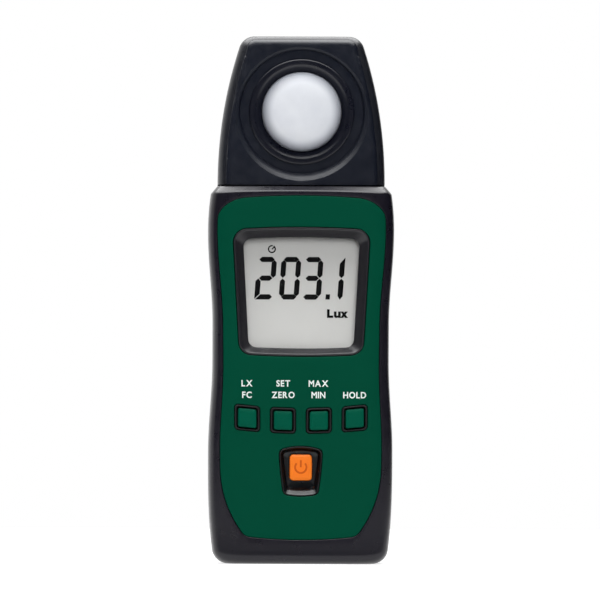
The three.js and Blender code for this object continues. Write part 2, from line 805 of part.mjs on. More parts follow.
function makeFrontCase() {
  const panel = outside
    .intersect(solid(slab(panelOutline(0), -far, wallBack)))
    .subtract(frontCavity);
  let made = caseOutside.subtract(frontCavity).intersect(frontHalf).add(panel);
  for (const [x, z] of caseScrews) {
    const boss = solid(rod(bossRadius, wallBack - root, bossEnd, x, z));
    made = made.add(boss.intersect(caseOutside));
    made = made.subtract(solid(rod(screwRadius + slide, bossEnd - screwHole, far, x, z)));
  }
  for (const [x, z] of boardPosts) {
    made = made.add(solid(rod(postRadius, wallBack - root, boardFront - seam, x, z)));
    made = made.add(solid(rod(pinRadius, boardFront - 2 * seam, boardBack, x, z)));
  }
  // Openings, and behind each the room for the flange or sheet that seats there.
  made = made.subtract(solid(slab(displayOutline(0), -far, flangeFront)));
  made = made.subtract(solid(slab(displayOutline(bezelLap + seam), wallBack, boardFront)));
  made = made.subtract(solid(slab(powerWellOutline(0), -far, flangeFront)));
  made = made.subtract(solid(slab(sheetOutline(seam), wallBack, keyFlangeBack)));
  for (const { matrix } of keyPlaces) {
    const hole = oblong(
      collarHalfWidth + slide,
      collarHalfHeight + slide,
      collarCorner + slide,
    );
    made = made.subtract(solid(slab(hole, -far, flangeFront, 3), matrix));
  }
  return made;
}

const headScrews = [
  [-headBossHalfSpacing, headBossHeight],
  [headBossHalfSpacing, headBossHeight],
];
const headBack = backAt(overallHeight);
const doorTabs = [-doorTabSpacing / 2, doorTabSpacing / 2];

// The way for a screw from the back: a hole for its shank and a wider one for its head.
function screwWay([x, z], front, back) {
  const headSeat = back - screwHeadHeight - seam;
  const shank = rod(screwRadius + slide, front, far, x, z);
  const head = rod(screwHeadRadius + slide, headSeat, far, x, z);
  return solid(shank).add(solid(head));
}

function makeRearCase() {
  const coverHole = slab(headOutline(frameWidth, coverFoot - 1), -far, bossEnd);
  const blockFront = doorInner - screwBlockDepth;
  const ribBack = backFace - rearWall / 2; // ribs and posts end inside the wall
  const tub = box(
    -tubOuterHalfWidth,
    tubOuterHalfWidth,
    tubFront,
    ribBack,
    tubFoot - tubWall,
    tubTop + tubWall,
  );
  const screwBlock = box(
    -screwBlockHalfWidth,
    screwBlockHalfWidth,
    blockFront,
    ribBack,
    tubTop,
    doorTop - root,
  );
  let made = outside.subtract(rearCavity).intersect(rearHalf);
  made = made.subtract(solid(coverHole)).add(solid(tub)).add(solid(screwBlock));
  for (const [x, z] of caseScrews) {
    const post = solid(rod(bossRadius + seam, parting + seam / 2, ribBack, x, z));
    made = made.add(post.intersect(outside));
  }
  for (const [x, z] of headScrews) {
    const post = rod(headBossRadius, parting + seam / 2, headBack - rearWall / 2, x, z);
    made = made.add(solid(post));
  }
  made = made.subtract(
    solid(box(-tubHalfWidth, tubHalfWidth, tubFloor, far, tubFoot, tubTop)),
  );
  const doorHole = slab(doorOutline(seam), doorInner - seam, far);
  made = made.subtract(solid(doorHole));
  const bossFront = doorInner - doorBossHeight - seam;
  const bossHole = rod(doorBossRadius + seam, bossFront, far, 0, doorScrewHeight);
  const doorScrewHole = rod(screwRadius + slide, blockFront + root, far, 0, doorScrewHeight);
  made = made.subtract(solid(bossHole)).subtract(solid(doorScrewHole));
  // Pockets behind the foot edge for the door's tabs.
  for (const x of doorTabs) {
    const half = doorTabWidth / 2 + seam;
    const front = doorInner - doorTabThickness - doorSwing;
    const foot = doorFoot - doorTabReach - seam;
    made = made.subtract(solid(box(x - half, x + half, front, doorInner, foot, tubFoot + root)));
  }
  for (const place of caseScrews) {
    made = made.subtract(screwWay(place, parting - seam, backFace - screwHeadSunk));
  }
  for (const place of headScrews) {
    made = made.subtract(screwWay(place, parting - seam, headBack - screwHeadSunk));
  }
  return made;
}

// ---- Sensor head ------------------------------------------------------------------------

const flangeRadius = domeRadius + seam + domeFlange;
const tubeRadius = Math.max(flangeRadius, collarSpigotRadius) + 2 * seam;
const sensorTubeBack = recessBack + sensorTubeLength;
const domeSeat = recessBack + seam; // front of the dome's flange
const sensorBoardRadius = tubeRadius + sensorTubeWall;
const sensorBoardFront = sensorTubeBack + seam;
const diodeFront = sensorBoardFront - seam - diodeHeight;

function makeHeadCover() {
  const face = (offset) => (z) => headFace(z) + offset;
  const edge = frameWidth + seam;
  const plate = loft([
    ringOf(headOutline(edge + coverChamfer, coverFoot), face(0)),
    ringOf(headOutline(edge, coverFoot), face(coverChamfer)),
    ringOf(headOutline(edge, coverFoot), face(coverThickness)),
  ]);
  const cup = rod(
    recessFloorRadius + cupWall,
    recessFloor - root,
    recessBack,
    0,
    sensorHeight,
    roundSteps,
  );
  const tubeProfile = [
    [tubeRadius, recessBack - root],
    [tubeRadius + sensorTubeWall, recessBack - root],
    [tubeRadius + sensorTubeWall, sensorTubeBack],
    [tubeRadius, sensorTubeBack],
  ];
  const reach = 8; // the cone is cut from well in front of the face
  const recessProfile = [
    [0, recessFloor],
    [recessFloorRadius, recessFloor],
    [recessFloorRadius + reach * recessFlare, recessFloor - reach],
    [0, recessFloor - reach],
  ];
  const recess = solid(turned(recessProfile, 0, sensorHeight));
  // The hole runs past the floor, so that the tube can be added round it.
  const hole = rod(collarSpigotRadius + slide, -far, recessBack + 1, 0, sensorHeight, roundSteps);
  const tube = turned(tubeProfile, 0, sensorHeight);
  let made = solid(plate).add(solid(cup)).subtract(solid(hole)).add(solid(tube));
  for (const [x, z] of headScrews) {
    const front = headFace(z) + coverThickness / 2;
    made = made.add(solid(rod(headBossRadius, front, bossEnd, x, z)));
    made = made.subtract(solid(rod(screwRadius + slide, bossEnd - screwHole, far, x, z)));
  }
  return made.subtract(recess);
}

function makeCollar() {
  const front = recessFloor - seam - collarFlangeThickness;
  const boreRadius = domeRadius + seam;
  const profile = [
    [boreRadius, recessFloor],
    [collarMouthRadius, front],
    [collarFlangeRadius - collarChamfer, front],
    [collarFlangeRadius, front + collarChamfer],
    [collarFlangeRadius, recessFloor - seam],
    [collarSpigotRadius, recessFloor - seam],
    [collarSpigotRadius, recessBack],
    [boreRadius, recessBack],
  ];
  return solid(turned(profile, 0, sensorHeight));
}

// Points of a cap from its rim to its crown: [radius, depth].
function capProfile(rimRadius, rise, foot, steps) {
  const sphere = (rimRadius ** 2 + rise ** 2) / (2 * rise);
  const opening = Math.asin(Math.min(rimRadius / sphere, 1));
  const points = [];
  for (let i = 0; i <= steps; i++) {
    const a = opening * (1 - i / steps);
    const r = i === steps ? 0 : sphere * Math.sin(a);
    points.push([r, foot - (sphere * Math.cos(a) - sphere + rise)]);
  }
  return points;
}

function makeDome() {
  const back = domeSeat + domeFlange;
  const inner = domeRadius - domeWall;
  const outerCap = capProfile(domeRadius, domeRise, recessFloor, 5).reverse();
  const innerCap = capProfile(inner, domeRise - domeWall, recessFloor, 3);
  const flange = [
    [domeRadius, domeSeat],
    [flangeRadius, domeSeat],
    [flangeRadius, back],
    [inner, back],
  ];
  return solid(turned([...outerCap, ...flange, ...innerCap], 0, sensorHeight));
}

// ---- Display ----------------------------------------------------------------------------

function makeBezel() {
  const rimFront = frontFace + rimSunk;
  const flangeBack = flangeFront + flangeThickness;
  const outer = (y) => ringOf(displayOutline(-slide), y);
  const flange = (y) => ringOf(displayOutline(bezelLap), y);
  const mouth = (y) => ringOf(displayOutline(0, bezelInset, bezelFootInset), y);
  const rings = [
    outer(rimFront),
    ringOf(displayOutline(-slide - bezelRim), rimFront),
    mouth(frontFace + bezelDepth),
    mouth(flangeBack),
    flange(flangeBack),
    flange(flangeFront),
    outer(flangeFront),
  ];
  return solid(loft(rings, { closed: true }));
}

function makeWindow() {
  const outline = displayOutline(0, bezelInset - windowLap, bezelFootInset - windowLap);
  return solid(slab(outline, windowFront, windowFront + windowThickness));
}

const glassHalfWidth = displayTopHalfWidth - bezelInset + glassLap;
const glassFoot = displayFoot + bezelFootInset - glassLapFoot;
const glassTop = displayTop - bezelInset + glassLapTop;
const glassMiddle = (glassFoot + glassTop) / 2;
const glassHalfHeight = (glassTop - glassFoot) / 2;
const connectorMiddle = glassFoot + seam + connectorHeight / 2;

// The glass's outline, grown by `grow` for the holder round it.
function glassOutline(grow) {
  return oblong(glassHalfWidth + grow, glassHalfHeight + grow, glassCorner + grow, 0, glassMiddle);
}

// The connector, or with `grow` the slot that it stands in.
function connectorBlock(front, back, grow = 0) {
  const halfLength = connectorLength / 2 + grow;
  const half = connectorHeight / 2 + grow;
  return solid(
    box(-halfLength, halfLength, front, back, connectorMiddle - half, connectorMiddle + half),
  );
}

function makeHolder() {
  const outer = slab(glassOutline(seam + holderWall), glassFront, holderFront + holderFloor);
  const inner = slab(glassOutline(seam), -far, holderFront);
  const slot = connectorBlock(-far, far, seam);
  return solid(outer).subtract(solid(inner)).subtract(slot);
}

// ---- Keys -------------------------------------------------------------------------------

// A key: a flange behind its frame, straight sides, a softly rounded cap, and a post.
function makeKey(halfWidth, halfHeight, corner, top, place) {
  const ring = (grow, y) => {
    const outline = oblong(halfWidth + grow, halfHeight + grow, Math.max(corner + grow, keyCornerLeast));
    return ringOf(outline, y, 2);
  };
  const cap = loft([
    ring(keyFlangeLap, keyFlangeBack),
    ring(keyFlangeLap, keyFlangeFront),
    ring(0, keyFlangeFront),
    ring(0, top + keyEdge),
    ring(-keyEdgeShare * keyEdge, top + keyEdgeShare * keyEdge),
    ring(-keyEdge, top),
  ]);
  const post = rod(keyPostRadius, keyFlangeBack - root, keyFlangeBack + keyPostLength, 0, 0, 8);
  return solid(cap, place).add(solid(post, place));
}

function makeKeyFrame() {
  let made = solid(slab(sheetOutline(0), flangeFront, sheetBack));
  for (const { matrix } of keyPlaces) {
    const collar = oblong(collarHalfWidth, collarHalfHeight, collarCorner);
    const hole = oblong(keyWidth / 2 + slide, keyHeight / 2 + slide, keyCorner + slide);
    made = made.add(solid(slab(collar, frontFace - collarProud, sheetBack, 3), matrix));
    made = made.subtract(solid(slab(hole, -far, far, 2), matrix));
  }
  return made;
}

function makePowerWell() {
  const floor = frontFace + powerWellDepth;
  const rim = frontFace + rimSunk;
  const inside = -slide - powerWellRim;
  const outer = solid(slab(powerWellOutline(-slide), rim, sheetBack));
  const flange = solid(slab(powerWellOutline(bezelLap), flangeFront, sheetBack));
  const cup = loft([
    ringOf(powerWellOutline(inside), -far),
    ringOf(powerWellOutline(inside), rim),
    ringOf(powerWellOutline(inside, powerWellSlope), floor),
  ]);
  const hole = oblong(
    powerKeyWidth / 2 + slide,
    powerKeyHeight / 2 + slide,
    powerKeyCorner + slide,
    0,
    powerKeyMiddle,
  );
  return outer.subtract(solid(cup)).add(flange).subtract(solid(slab(hole, -far, far)));
}

function makeSwitch(place) {
  const bodyFront = plungerTop + switchPlungerHeight;
  const half = switchWidth / 2;
  const body = box(-half, half, bodyFront, boardFront - seam / 2, -half, half);
  const plunger = rod(switchPlungerRadius, plungerTop, bodyFront + root, 0, 0, 8);
  return solid(body, place).add(solid(plunger, place));
}

// ---- Board and electronics --------------------------------------------------------------

function makeBoard() {
  const half = glassHalfWidth + seam + holderWall;
  const tail = caseScrewHalfSpacing - bossRadius - seam;
  const foot = caseScrewFoot - bossRadius;
  const top = caseScrewTop + bossRadius;
  const shape = new THREE.Shape();
  const notchFoot = caseScrewFoot + bossRadius + seam;
  const notchTop = caseScrewTop - bossRadius - seam;
  const corners = [
    [tail, foot],
    [tail, notchFoot],
    [half, notchFoot],
    [half, notchTop],
    [tail, notchTop],
    [tail, top],
  ];
  shape.moveTo(...corners[0]);
  for (const [x, z] of corners.slice(1)) shape.lineTo(x, z);
  for (const [x, z] of [...corners].reverse()) shape.lineTo(-x, z);
  let made = solid(slab(shape, boardFront, boardBack));
  for (const [x, z] of boardPosts) {
    made = made.subtract(solid(rod(pinRadius + slide, -far, far, x, z)));
  }
  return made;
}

// The ribbon hangs from the back of the sensor board and ends behind the top of the main board.
function makeRibbon() {
  const sensorEnd = sensorBoardFront + sensorBoardThickness + seam;
  const boardEnd = boardBack + seam;
  const low = sensorHeight - sensorBoardRadius;
  const path = new THREE.CubicBezierCurve(
    new THREE.Vector2(sensorEnd, low - ribbonStraight),
    new THREE.Vector2(sensorEnd, low - ribbonStraight - ribbonPull),
    new THREE.Vector2(boardEnd, caseScrewTop + ribbonStraight + ribbonPull),
    new THREE.Vector2(boardEnd, caseScrewTop + ribbonStraight),
  );
  const line = [
    new THREE.Vector2(sensorEnd, low + ribbonLap),
    ...path.getPoints(8),
    new THREE.Vector2(boardEnd, caseScrewTop - ribbonLap),
  ];
  const behind = line.map((p) => new THREE.Vector2(p.x + ribbonThickness, p.y));
  const shape = new THREE.Shape([...line, ...behind.reverse()]);
  const geometry = new THREE.ExtrudeGeometry(shape, { depth: ribbonWidth, bevelEnabled: false });
  // The shape's X and Y become the part's Y and Z, and its depth runs along X.
  const turn = new THREE.Matrix4().makeBasis(
    new THREE.Vector3(0, 1, 0),
    new THREE.Vector3(0, 0, 1),
    new THREE.Vector3(1, 0, 0),
  );
  turn.setPosition(-ribbonWidth / 2, 0, 0);
  return solid(geometry, turn);
}

// ---- Cells and contacts -----------------------------------------------------------------

// A cell with its nub up, or down when `flipped`.
function makeCell(x, flipped) {
  const edge = 0.5; // rounding of the can
  const profile = [
    [0, 0],
    [cellRadius - edge, 0],
    [cellRadius, edge],
    [cellRadius, cellLength - edge],
    [cellRadius - edge, cellLength],
    [nubRadius, cellLength],
    [nubRadius, cellLength + nubHeight],
    [0, cellLength + nubHeight],
  ];
  const points = profile.map(([r, y]) => new THREE.Vector2(r, y));
  const geometry = new THREE.LatheGeometry(points, cellSteps);
  const turn = new THREE.Matrix4().makeRotationX(flipped ? -Math.PI / 2 : Math.PI / 2);
  turn.setPosition(x, cellAxis, flipped ? flippedTop : cellFoot);
  return solid(geometry, turn);
}

class SpringPath extends THREE.Curve {
  getPoint(t) {
    const angle = 2 * Math.PI * springTurns * t;
    const radius = mix(springFootRadius, springTipRadius, t);
    return new THREE.Vector3(
      radius * Math.cos(angle),
      radius * Math.sin(angle),
      springWire + (springHeight - 2 * springWire) * t,
    );
  }
}

function makeSpring(x, fromTop) {
  const wire = new THREE.Shape();
  wire.absarc(0, 0, springWire, 0, 2 * Math.PI);
  const options = { extrudePath: new SpringPath(), steps: 24, curveSegments: 2 };
  const geometry = new THREE.ExtrudeGeometry(wire, { ...options, bevelEnabled: false });
  const turn = new THREE.Matrix4();
  if (fromTop) turn.makeRotationX(Math.PI);
  turn.setPosition(x, cellAxis, fromTop ? upperContact - seam : springFoot);
  return solid(geometry, turn);
}

function makeContact(x0, x1, atTop) {
  const foot = atTop ? upperContact : contactFace - contactThickness;
  const half = contactShare * cellRadius;
  return solid(box(x0, x1, cellAxis - half, cellAxis + half, foot, foot + contactThickness));
}

// ---- Door and screws --------------------------------------------------------------------

function makeDoor() {
  let made = solid(slab(doorOutline(0), doorInner, backFace));
  const front = doorInner - seam - doorTabThickness;
  for (const x of doorTabs) {
    const half = doorTabWidth / 2;
    const neck = box(x - half, x + half, front, doorInner + root, doorFoot + seam, tubFoot + root);
    const tab = box(
      x - half,
      x + half,
      front,
      front + doorTabThickness,
      doorFoot - doorTabReach,
      tubFoot,
    );
    made = made.add(solid(neck)).add(solid(tab));
  }
  const bossFront = doorInner - doorBossHeight;
  const boss = rod(doorBossRadius, bossFront, doorInner + root, 0, doorScrewHeight);
  const way = screwWay([0, doorScrewHeight], -far, backFace - seam);
  return made.add(solid(boss)).subtract(way);
}

// A pan-head screw whose head ends at the depth `top`.
function makeScrew([x, z], top, tip) {
  const seat = top - screwHeadHeight;
  const edge = screwHeadRound * screwHeadRadius;
  const profile = [
    [0, tip],
    [screwRadius / 2, tip],
    [screwRadius, tip + screwTaper],
    [screwRadius, seat],
    [screwHeadRadius, seat],
    [screwHeadRadius, top - edge],
    [screwHeadRadius - edge, top],
    [0, top],
  ];
  return solid(turned(profile, x, z, smallSteps));
}

// ---- Assembly ---------------------------------------------------------------------------

addPiece("front_case", makeFrontCase(), green);
addPiece("grip_surround", makeGripSurround(), blackRubber);
addPiece("rear_case", makeRearCase(), blackPlastic);
addPiece("head_cover", makeHeadCover(), blackPlastic);

// A round piece on the sensor's axis.
function disc(radius, front, thickness, steps = 24) {
  return solid(rod(radius, front, front + thickness, 0, sensorHeight, steps));
}

const filterFront = diodeFront - seam - filterThickness;
addPiece("sensor_collar", makeCollar(), blackPlastic);
addPiece("diffuser_dome", makeDome(), opal);
addPiece("eye_response_filter", disc(filterRadius, filterFront, filterThickness), filterGlass);
addPiece("photodiode", disc(diodeRadius, diodeFront, diodeHeight), steel);
addPiece(
  "sensor_board",
  disc(sensorBoardRadius, sensorBoardFront, sensorBoardThickness, roundSteps),
  boardGreen,
);
addPiece("sensor_ribbon", makeRibbon(), white);

const glass = solid(slab(glassOutline(0), glassFront, glassFront + glassThickness));
const connector = connectorBlock(holderFront, boardFront - seam);
addPiece("display_bezel", makeBezel(), blackPlastic);
addPiece("display_window", makeWindow(), clear);
addPiece("display_glass", glass, displayGrey);
addPiece("display_holder", makeHolder(), white);
addPiece("display_connector", connector, blackRubber);

const controllerProfile = [
  [0, boardBack + seam],
  [controllerRadius, boardBack + seam],
  [controllerCrown * controllerRadius, boardBack + controllerCrown * controllerHeight],
  [0, boardBack + controllerHeight],
];
const controllerAt = displayFoot + displayHeight / 2 + controllerRise;
addPiece("main_board", makeBoard(), boardGreen);
addPiece("controller", solid(turned(controllerProfile, 0, controllerAt, 20)), blackPlastic);

addPiece("key_frame", makeKeyFrame(), blackRubber);
for (const [i, { name, matrix }] of keyPlaces.entries()) {
  const top = frontFace - keyProud;
  addPiece(name, makeKey(keyWidth / 2, keyHeight / 2, keyCorner, top, matrix), keyGreen);
  addPiece(`key_switch_${i + 1}`, makeSwitch(matrix), steel);
}
const powerPlace = new THREE.Matrix4().makeTranslation(0, 0, powerKeyMiddle);
const powerTop = frontFace - powerKeyProud;
addPiece("power_well", makePowerWell(), blackRubber);
addPiece(
  "power_key",
  makeKey(powerKeyWidth / 2, powerKeyHeight / 2, powerKeyCorner, powerTop, powerPlace),
  orange,
);
addPiece("power_switch", makeSwitch(powerPlace), steel);

const contactEdge = cellOffset + contactShare * cellRadius;
const contactGap = cellSpacing / 2 + seam;
addPiece("cell_left", makeCell(-cellOffset, false), cellSleeve);
addPiece("cell_right", makeCell(cellOffset, true), cellSleeve);
addPiece("spring_left", makeSpring(-cellOffset, false), steel);
addPiece("spring_right", makeSpring(cellOffset, true), steel);
addPiece("contact_bridge", makeContact(-contactEdge, contactEdge, false), steel);
addPiece("contact_plus", makeContact(-contactEdge, -contactGap, true), steel);
addPiece("contact_minus", makeContact(contactGap, contactEdge, true), steel);

addPiece("battery_door", makeDoor(), blackPlastic);
const doorScrewTip = doorInner - doorScrewBite;
addPiece("door_screw", makeScrew([0, doorScrewHeight], backFace - seam, doorScrewTip), steel);
for (const [i, place] of caseScrews.entries()) {
  const made = makeScrew(place, backFace - screwHeadSunk, bossEnd - screwBite);
  addPiece(`case_screw_${i + 1}`, made, steel);
}
for (const [i, place] of headScrews.entries()) {
  const made = makeScrew(place, headBack - screwHeadSunk, bossEnd - screwBite);
  addPiece(`head_screw_${i + 1}`, made, steel);
}

export default group;
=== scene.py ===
# %% [markdown]
# # A pocket light meter
#
# The meter is a hand-held instrument: a waisted plastic case in a rubber jacket, with a display
# and keys on its front and a fixed head above that carries a white light sensor. This lesson
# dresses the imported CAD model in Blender. Each visible moulding is built again here from much the
# same curves as its CAD piece, with finer faces and rounded edges, because a faceted solid shows
# flats where the light runs along it. Parts inside that are hardly seen keep their CAD meshes.

# %% Open the frame
import math

import bmesh
import bpy
import numpy as np
from mathutils import Matrix, Vector, geometry


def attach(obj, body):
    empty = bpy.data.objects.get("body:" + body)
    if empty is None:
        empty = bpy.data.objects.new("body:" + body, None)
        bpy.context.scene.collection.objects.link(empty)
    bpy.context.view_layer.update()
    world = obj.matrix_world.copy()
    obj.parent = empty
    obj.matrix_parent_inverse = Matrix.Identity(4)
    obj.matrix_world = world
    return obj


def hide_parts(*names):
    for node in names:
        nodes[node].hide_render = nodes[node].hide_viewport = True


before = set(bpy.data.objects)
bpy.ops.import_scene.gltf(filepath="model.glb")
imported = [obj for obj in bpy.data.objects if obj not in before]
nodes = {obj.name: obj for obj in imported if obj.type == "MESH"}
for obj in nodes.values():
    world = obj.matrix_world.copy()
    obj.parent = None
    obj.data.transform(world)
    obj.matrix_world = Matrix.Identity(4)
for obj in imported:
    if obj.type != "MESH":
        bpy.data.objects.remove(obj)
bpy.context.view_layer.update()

# %% [markdown]
# ## The outer form
#
# All mouldings of the housing share one surface. A level cut through it is a superellipse, an
# oblong whose corners are drawn by a power: 7 at the front, where the corners are tight, and 5 at
# the back. Going up, its half width follows the hand: wide at the belly, narrow at the waist and
# wide again at the chest. One could also draw this with subdivision surfaces, but a formula keeps
# the front, jacket and back exactly in line where they meet. Sizes are in millimetres.

# %% Half widths, faces and heights
FRONT, BACK = -11.5, 11.5
PARTING, SEAM, DOOR_GAP = 1.84, 0.12, 0.3
SENSOR = 113.964
LIP, SHOULDER, TOP = 93.2, 95.2, 133.0
FOOT_RADIUS, HEAD_RADIUS = 3.4, 2.6
BELLY_HEIGHT, WAIST_LOW, WAIST_HIGH, CHEST_HEIGHT = 28.0, 51.0, 60.0, 84.0
BELLY, WAIST, CHEST, LIP_HALF = 23.22, 22.22, 23.45, 22.78
HEAD_HALF, HEAD_TAPER = 21.08, 6.3
LIP_BOW, BOW_REACH = 0.6, 5.0
FRONT_POWER, BACK_POWER, BACK_ROLL = 7.0, 5.0, 0.5
FOOT_TAPER, HEAD_TAPER_POWER, BACK_STEP, BACK_STEP_LENGTH = 1.55, 2.1, 1.5, 12.0
HEAD_FACE, HEAD_LEAN = -8.0, 2.4


def ease(t):
    return (1 - np.cos(np.pi * np.clip(t, 0, 1))) / 2


def body_half(z):
    z = np.asarray(z, float)
    foot = BELLY - FOOT_TAPER * (np.clip(BELLY_HEIGHT - z, 0, None) / BELLY_HEIGHT) ** 3
    waist = BELLY + (WAIST - BELLY) * ease((z - BELLY_HEIGHT) / (WAIST_LOW - BELLY_HEIGHT))
    chest = WAIST + (CHEST - WAIST) * ease((z - WAIST_HIGH) / (CHEST_HEIGHT - WAIST_HIGH))
    lip = CHEST + (LIP_HALF - CHEST) * ((z - CHEST_HEIGHT) / (LIP - CHEST_HEIGHT)) ** 2
    zones = [z <= BELLY_HEIGHT, z <= WAIST_HIGH, z <= CHEST_HEIGHT]
    return np.select(zones, [foot, waist, chest], lip)


def head_half(z):
    up = np.clip((np.asarray(z, float) - SHOULDER) / (TOP - SHOULDER), 0, 1)
    return HEAD_HALF - HEAD_TAPER * up**HEAD_TAPER_POWER


def head_face(z):
    return HEAD_FACE + HEAD_LEAN * (np.asarray(z, float) - SHOULDER) / (TOP - SHOULDER)


def back_at(z):
    return BACK - BACK_STEP * ease((np.asarray(z, float) - LIP) / BACK_STEP_LENGTH)


def lip_rise(x, y, z):
    near = np.where(z < LIP, (z - LIP + BOW_REACH) / BOW_REACH, (SHOULDER - z) / (SHOULDER - LIP))
    across = np.clip(1 - (x / LIP_HALF) ** 2, 0, 1)
    return LIP_BOW * np.clip(near, 0, 1) * across * np.clip(y / FRONT, 0, 1)


for height in (BELLY_HEIGHT, WAIST_HIGH, CHEST_HEIGHT):
    print("Half width at", height, "mm:", body_half(height))

# %% [markdown]
# The way up the housing is a list of levels. Each is four numbers: its height, half width, and the
# depths of its front and back. Because a level is a plain row of numbers, a rounded edge is just a
# curve between rows: the foot and the top of the head turn on a quarter circle, and the sharp lip
# above the panel gets a small fillet from a quadratic curve.

# %% The levels from foot to top
QUARTER = np.linspace(0, math.pi / 2, 9)
CREST = ((0.4, 1.3), (0.12, 1.55), (0.07, 1.95))  # (below the shoulder, behind the front)


def bezier(start, pull, end, count):
    t = np.linspace(0, 1, count)[:, None]
    start, pull, end = (np.asarray(p, float) for p in (start, pull, end))
    return (1 - t) ** 2 * start + 2 * t * (1 - t) * pull + t * t * end


def straight(start, end, count):
    return [start + t * (end - start) for t in np.linspace(0, 1, count)[1:]]


def level_rows():
    rows = []
    for b in QUARTER[:-1]:
        z = FOOT_RADIUS * (1 - math.cos(b))
        inset = FOOT_RADIUS * (1 - math.sin(b))
        rows.append((z, body_half(z) - inset, FRONT + inset, BACK - inset))
    for z in np.linspace(FOOT_RADIUS, LIP - 0.1, 62):
        rows.append((z, body_half(z), FRONT, back_at(z)))

    def slope_row(z, front):
        half = LIP_HALF + (HEAD_HALF - LIP_HALF) * (z - LIP) / (SHOULDER - LIP)
        return np.array((z, half, front, back_at(z)))

    below = np.array(rows[-1])
    corner, above = slope_row(LIP + 0.2, FRONT), slope_row(LIP + 0.5, FRONT + 0.24)
    crest = [slope_row(SHOULDER - down, FRONT + back) for down, back in CREST]
    ledge = slope_row(SHOULDER, head_face(SHOULDER))
    rows += list(bezier(below, corner, above, 6)[1:]) + straight(above, crest[0], 5)
    rows += list(bezier(*crest, 5)[1:]) + straight(crest[2], ledge, 4)
    shoulder_row = len(rows) - 1
    head_top = TOP - HEAD_RADIUS
    for z in np.linspace(SHOULDER, head_top, 26)[1:]:
        rows.append((z, head_half(z), head_face(z), back_at(z)))
    for b in QUARTER[1:]:
        z = head_top + HEAD_RADIUS * math.sin(b)
        inset = HEAD_RADIUS * (1 - math.cos(b))
        rows.append((z, head_half(z) - inset, head_face(z) + inset, back_at(z) - inset))
    return np.array(rows, float), shoulder_row


LEVELS, shoulder_row = level_rows()
WAY = np.r_[0, np.cumsum(np.hypot(np.diff(LEVELS[:, 0]), np.diff(LEVELS[:, 2])))]
SHOULDER_WAY, TOP_WAY = WAY[shoulder_row], WAY[-1]
print(len(LEVELS), "levels, way from foot to top", round(TOP_WAY, 1), "mm")

# %% [markdown]
# A point of the surface now has two numbers, like a pattern drawn on paper: how far it lies round
# the ring from the middle of the front, and how far up the way. `housing` turns the two into a
# place in space, and `on_front` and `on_back` go the other way, so an outline that is drawn in the
# plane can be laid on the curved wall.

# %% From pattern to space and back
TURN = np.linspace(0, math.pi, 721)


def superellipse(turn):
    side, deep = np.sin(turn), -np.cos(turn)
    power = np.where(deep < 0, FRONT_POWER, BACK_POWER)
    reach = (np.abs(side) ** power + np.abs(deep) ** power) ** (-1 / power)
    return side * reach, deep * reach


ring_x, ring_y = superellipse(TURN)
ring_step_x, ring_step_y = np.diff(22.5 * ring_x), np.diff(11.7 * ring_y)  # of a ring of middle size
ring_step = np.hypot(ring_step_x, ring_step_y)
ARC = np.r_[0, np.cumsum(ring_step)]
HALF_ROUND = ARC[-1]


def level_at(way):
    return [np.interp(way, WAY, LEVELS[:, i]) for i in range(4)]


def housing(round_, way):
    """The place in space of a point of the pattern, measured round from the middle of the front."""
    z, half, front, back = level_at(way)
    across, deep = superellipse(np.interp(np.abs(round_), ARC, TURN))
    middle = (front + back) / 2
    reach = np.where(deep < 0, middle - front, back - middle + BACK_ROLL)
    x = np.sign(round_) * half * across
    y = np.minimum(middle + reach * deep, back)
    return np.stack([x, y, z + lip_rise(x, y, z)], -1)


def housing_from_back(round_, way):
    """The same, measured round from the middle of the back."""
    return housing(np.sign(round_ + 1e-9) * (HALF_ROUND - np.abs(round_)), way)


def corner_turn(share, power):
    share = np.clip(np.abs(share), 0, 0.9999)
    return np.arctan(share / (1 - share**power) ** (1 / power))


def on_front(x, z):
    """Where the point of the front wall with this x and z lies in the pattern."""
    x, z = np.asarray(x, float), np.asarray(z, float)
    height = z.copy()
    for _ in range(6):
        way = np.interp(height, LEVELS[:, 0], WAY)
        _, half, front, back = level_at(way)
        share = np.clip(np.abs(x) / half, 0, 0.9999)
        middle = (front + back) / 2
        y = middle - (middle - front) * (1 - share**FRONT_POWER) ** (1 / FRONT_POWER)
        height = z - lip_rise(x, y, height)
    return np.sign(x) * np.interp(corner_turn(share, FRONT_POWER), TURN, ARC), way


def on_back(x, z):
    x, z = np.asarray(x, float), np.asarray(z, float)
    way = np.interp(z, LEVELS[:, 0], WAY)
    half = level_at(way)[1]
    round_ = np.interp(math.pi - corner_turn(x / half, BACK_POWER), TURN, ARC)
    return np.sign(x) * (HALF_ROUND - round_), way


def parting_at(way, y):
    """How far round the wall reaches this depth, where the front and rear cases meet."""
    _, _, front, back = level_at(way)
    middle = (front + back) / 2
    reach = np.where(y < middle, middle - front, back - middle + BACK_ROLL)
    share = (y - middle) / reach
    turn = np.where(share < 0, -corner_turn(share, FRONT_POWER), corner_turn(share, BACK_POWER))
    return np.interp(math.pi / 2 + turn, TURN, ARC)


test = housing(*on_front(np.array([10.0, 18.0]), np.array([70.0, 88.0])))
print("There and back:", np.round(test, 3).tolist())

# %% [markdown]
# ## Making meshes
#
# `make_piece` turns points in millimetres into a Blender object in metres. Faces are smooth except
# where they meet at more than a set angle, so rounded edges look round and cut edges stay crisp.
# The shapes are lofts, which are skins over rings of points. That needs more thought than a cube
# with modifiers, but every ring can be given just the size that the moulding needs.

# %% A piece from points and faces
METRE, SAME_PLACE = 0.001, 2e-7  # a millimetre in metres, and a distance that counts as none


def new_object(name, data):
    made = bpy.data.objects.new(name, data)
    bpy.context.scene.collection.objects.link(made)
    return made


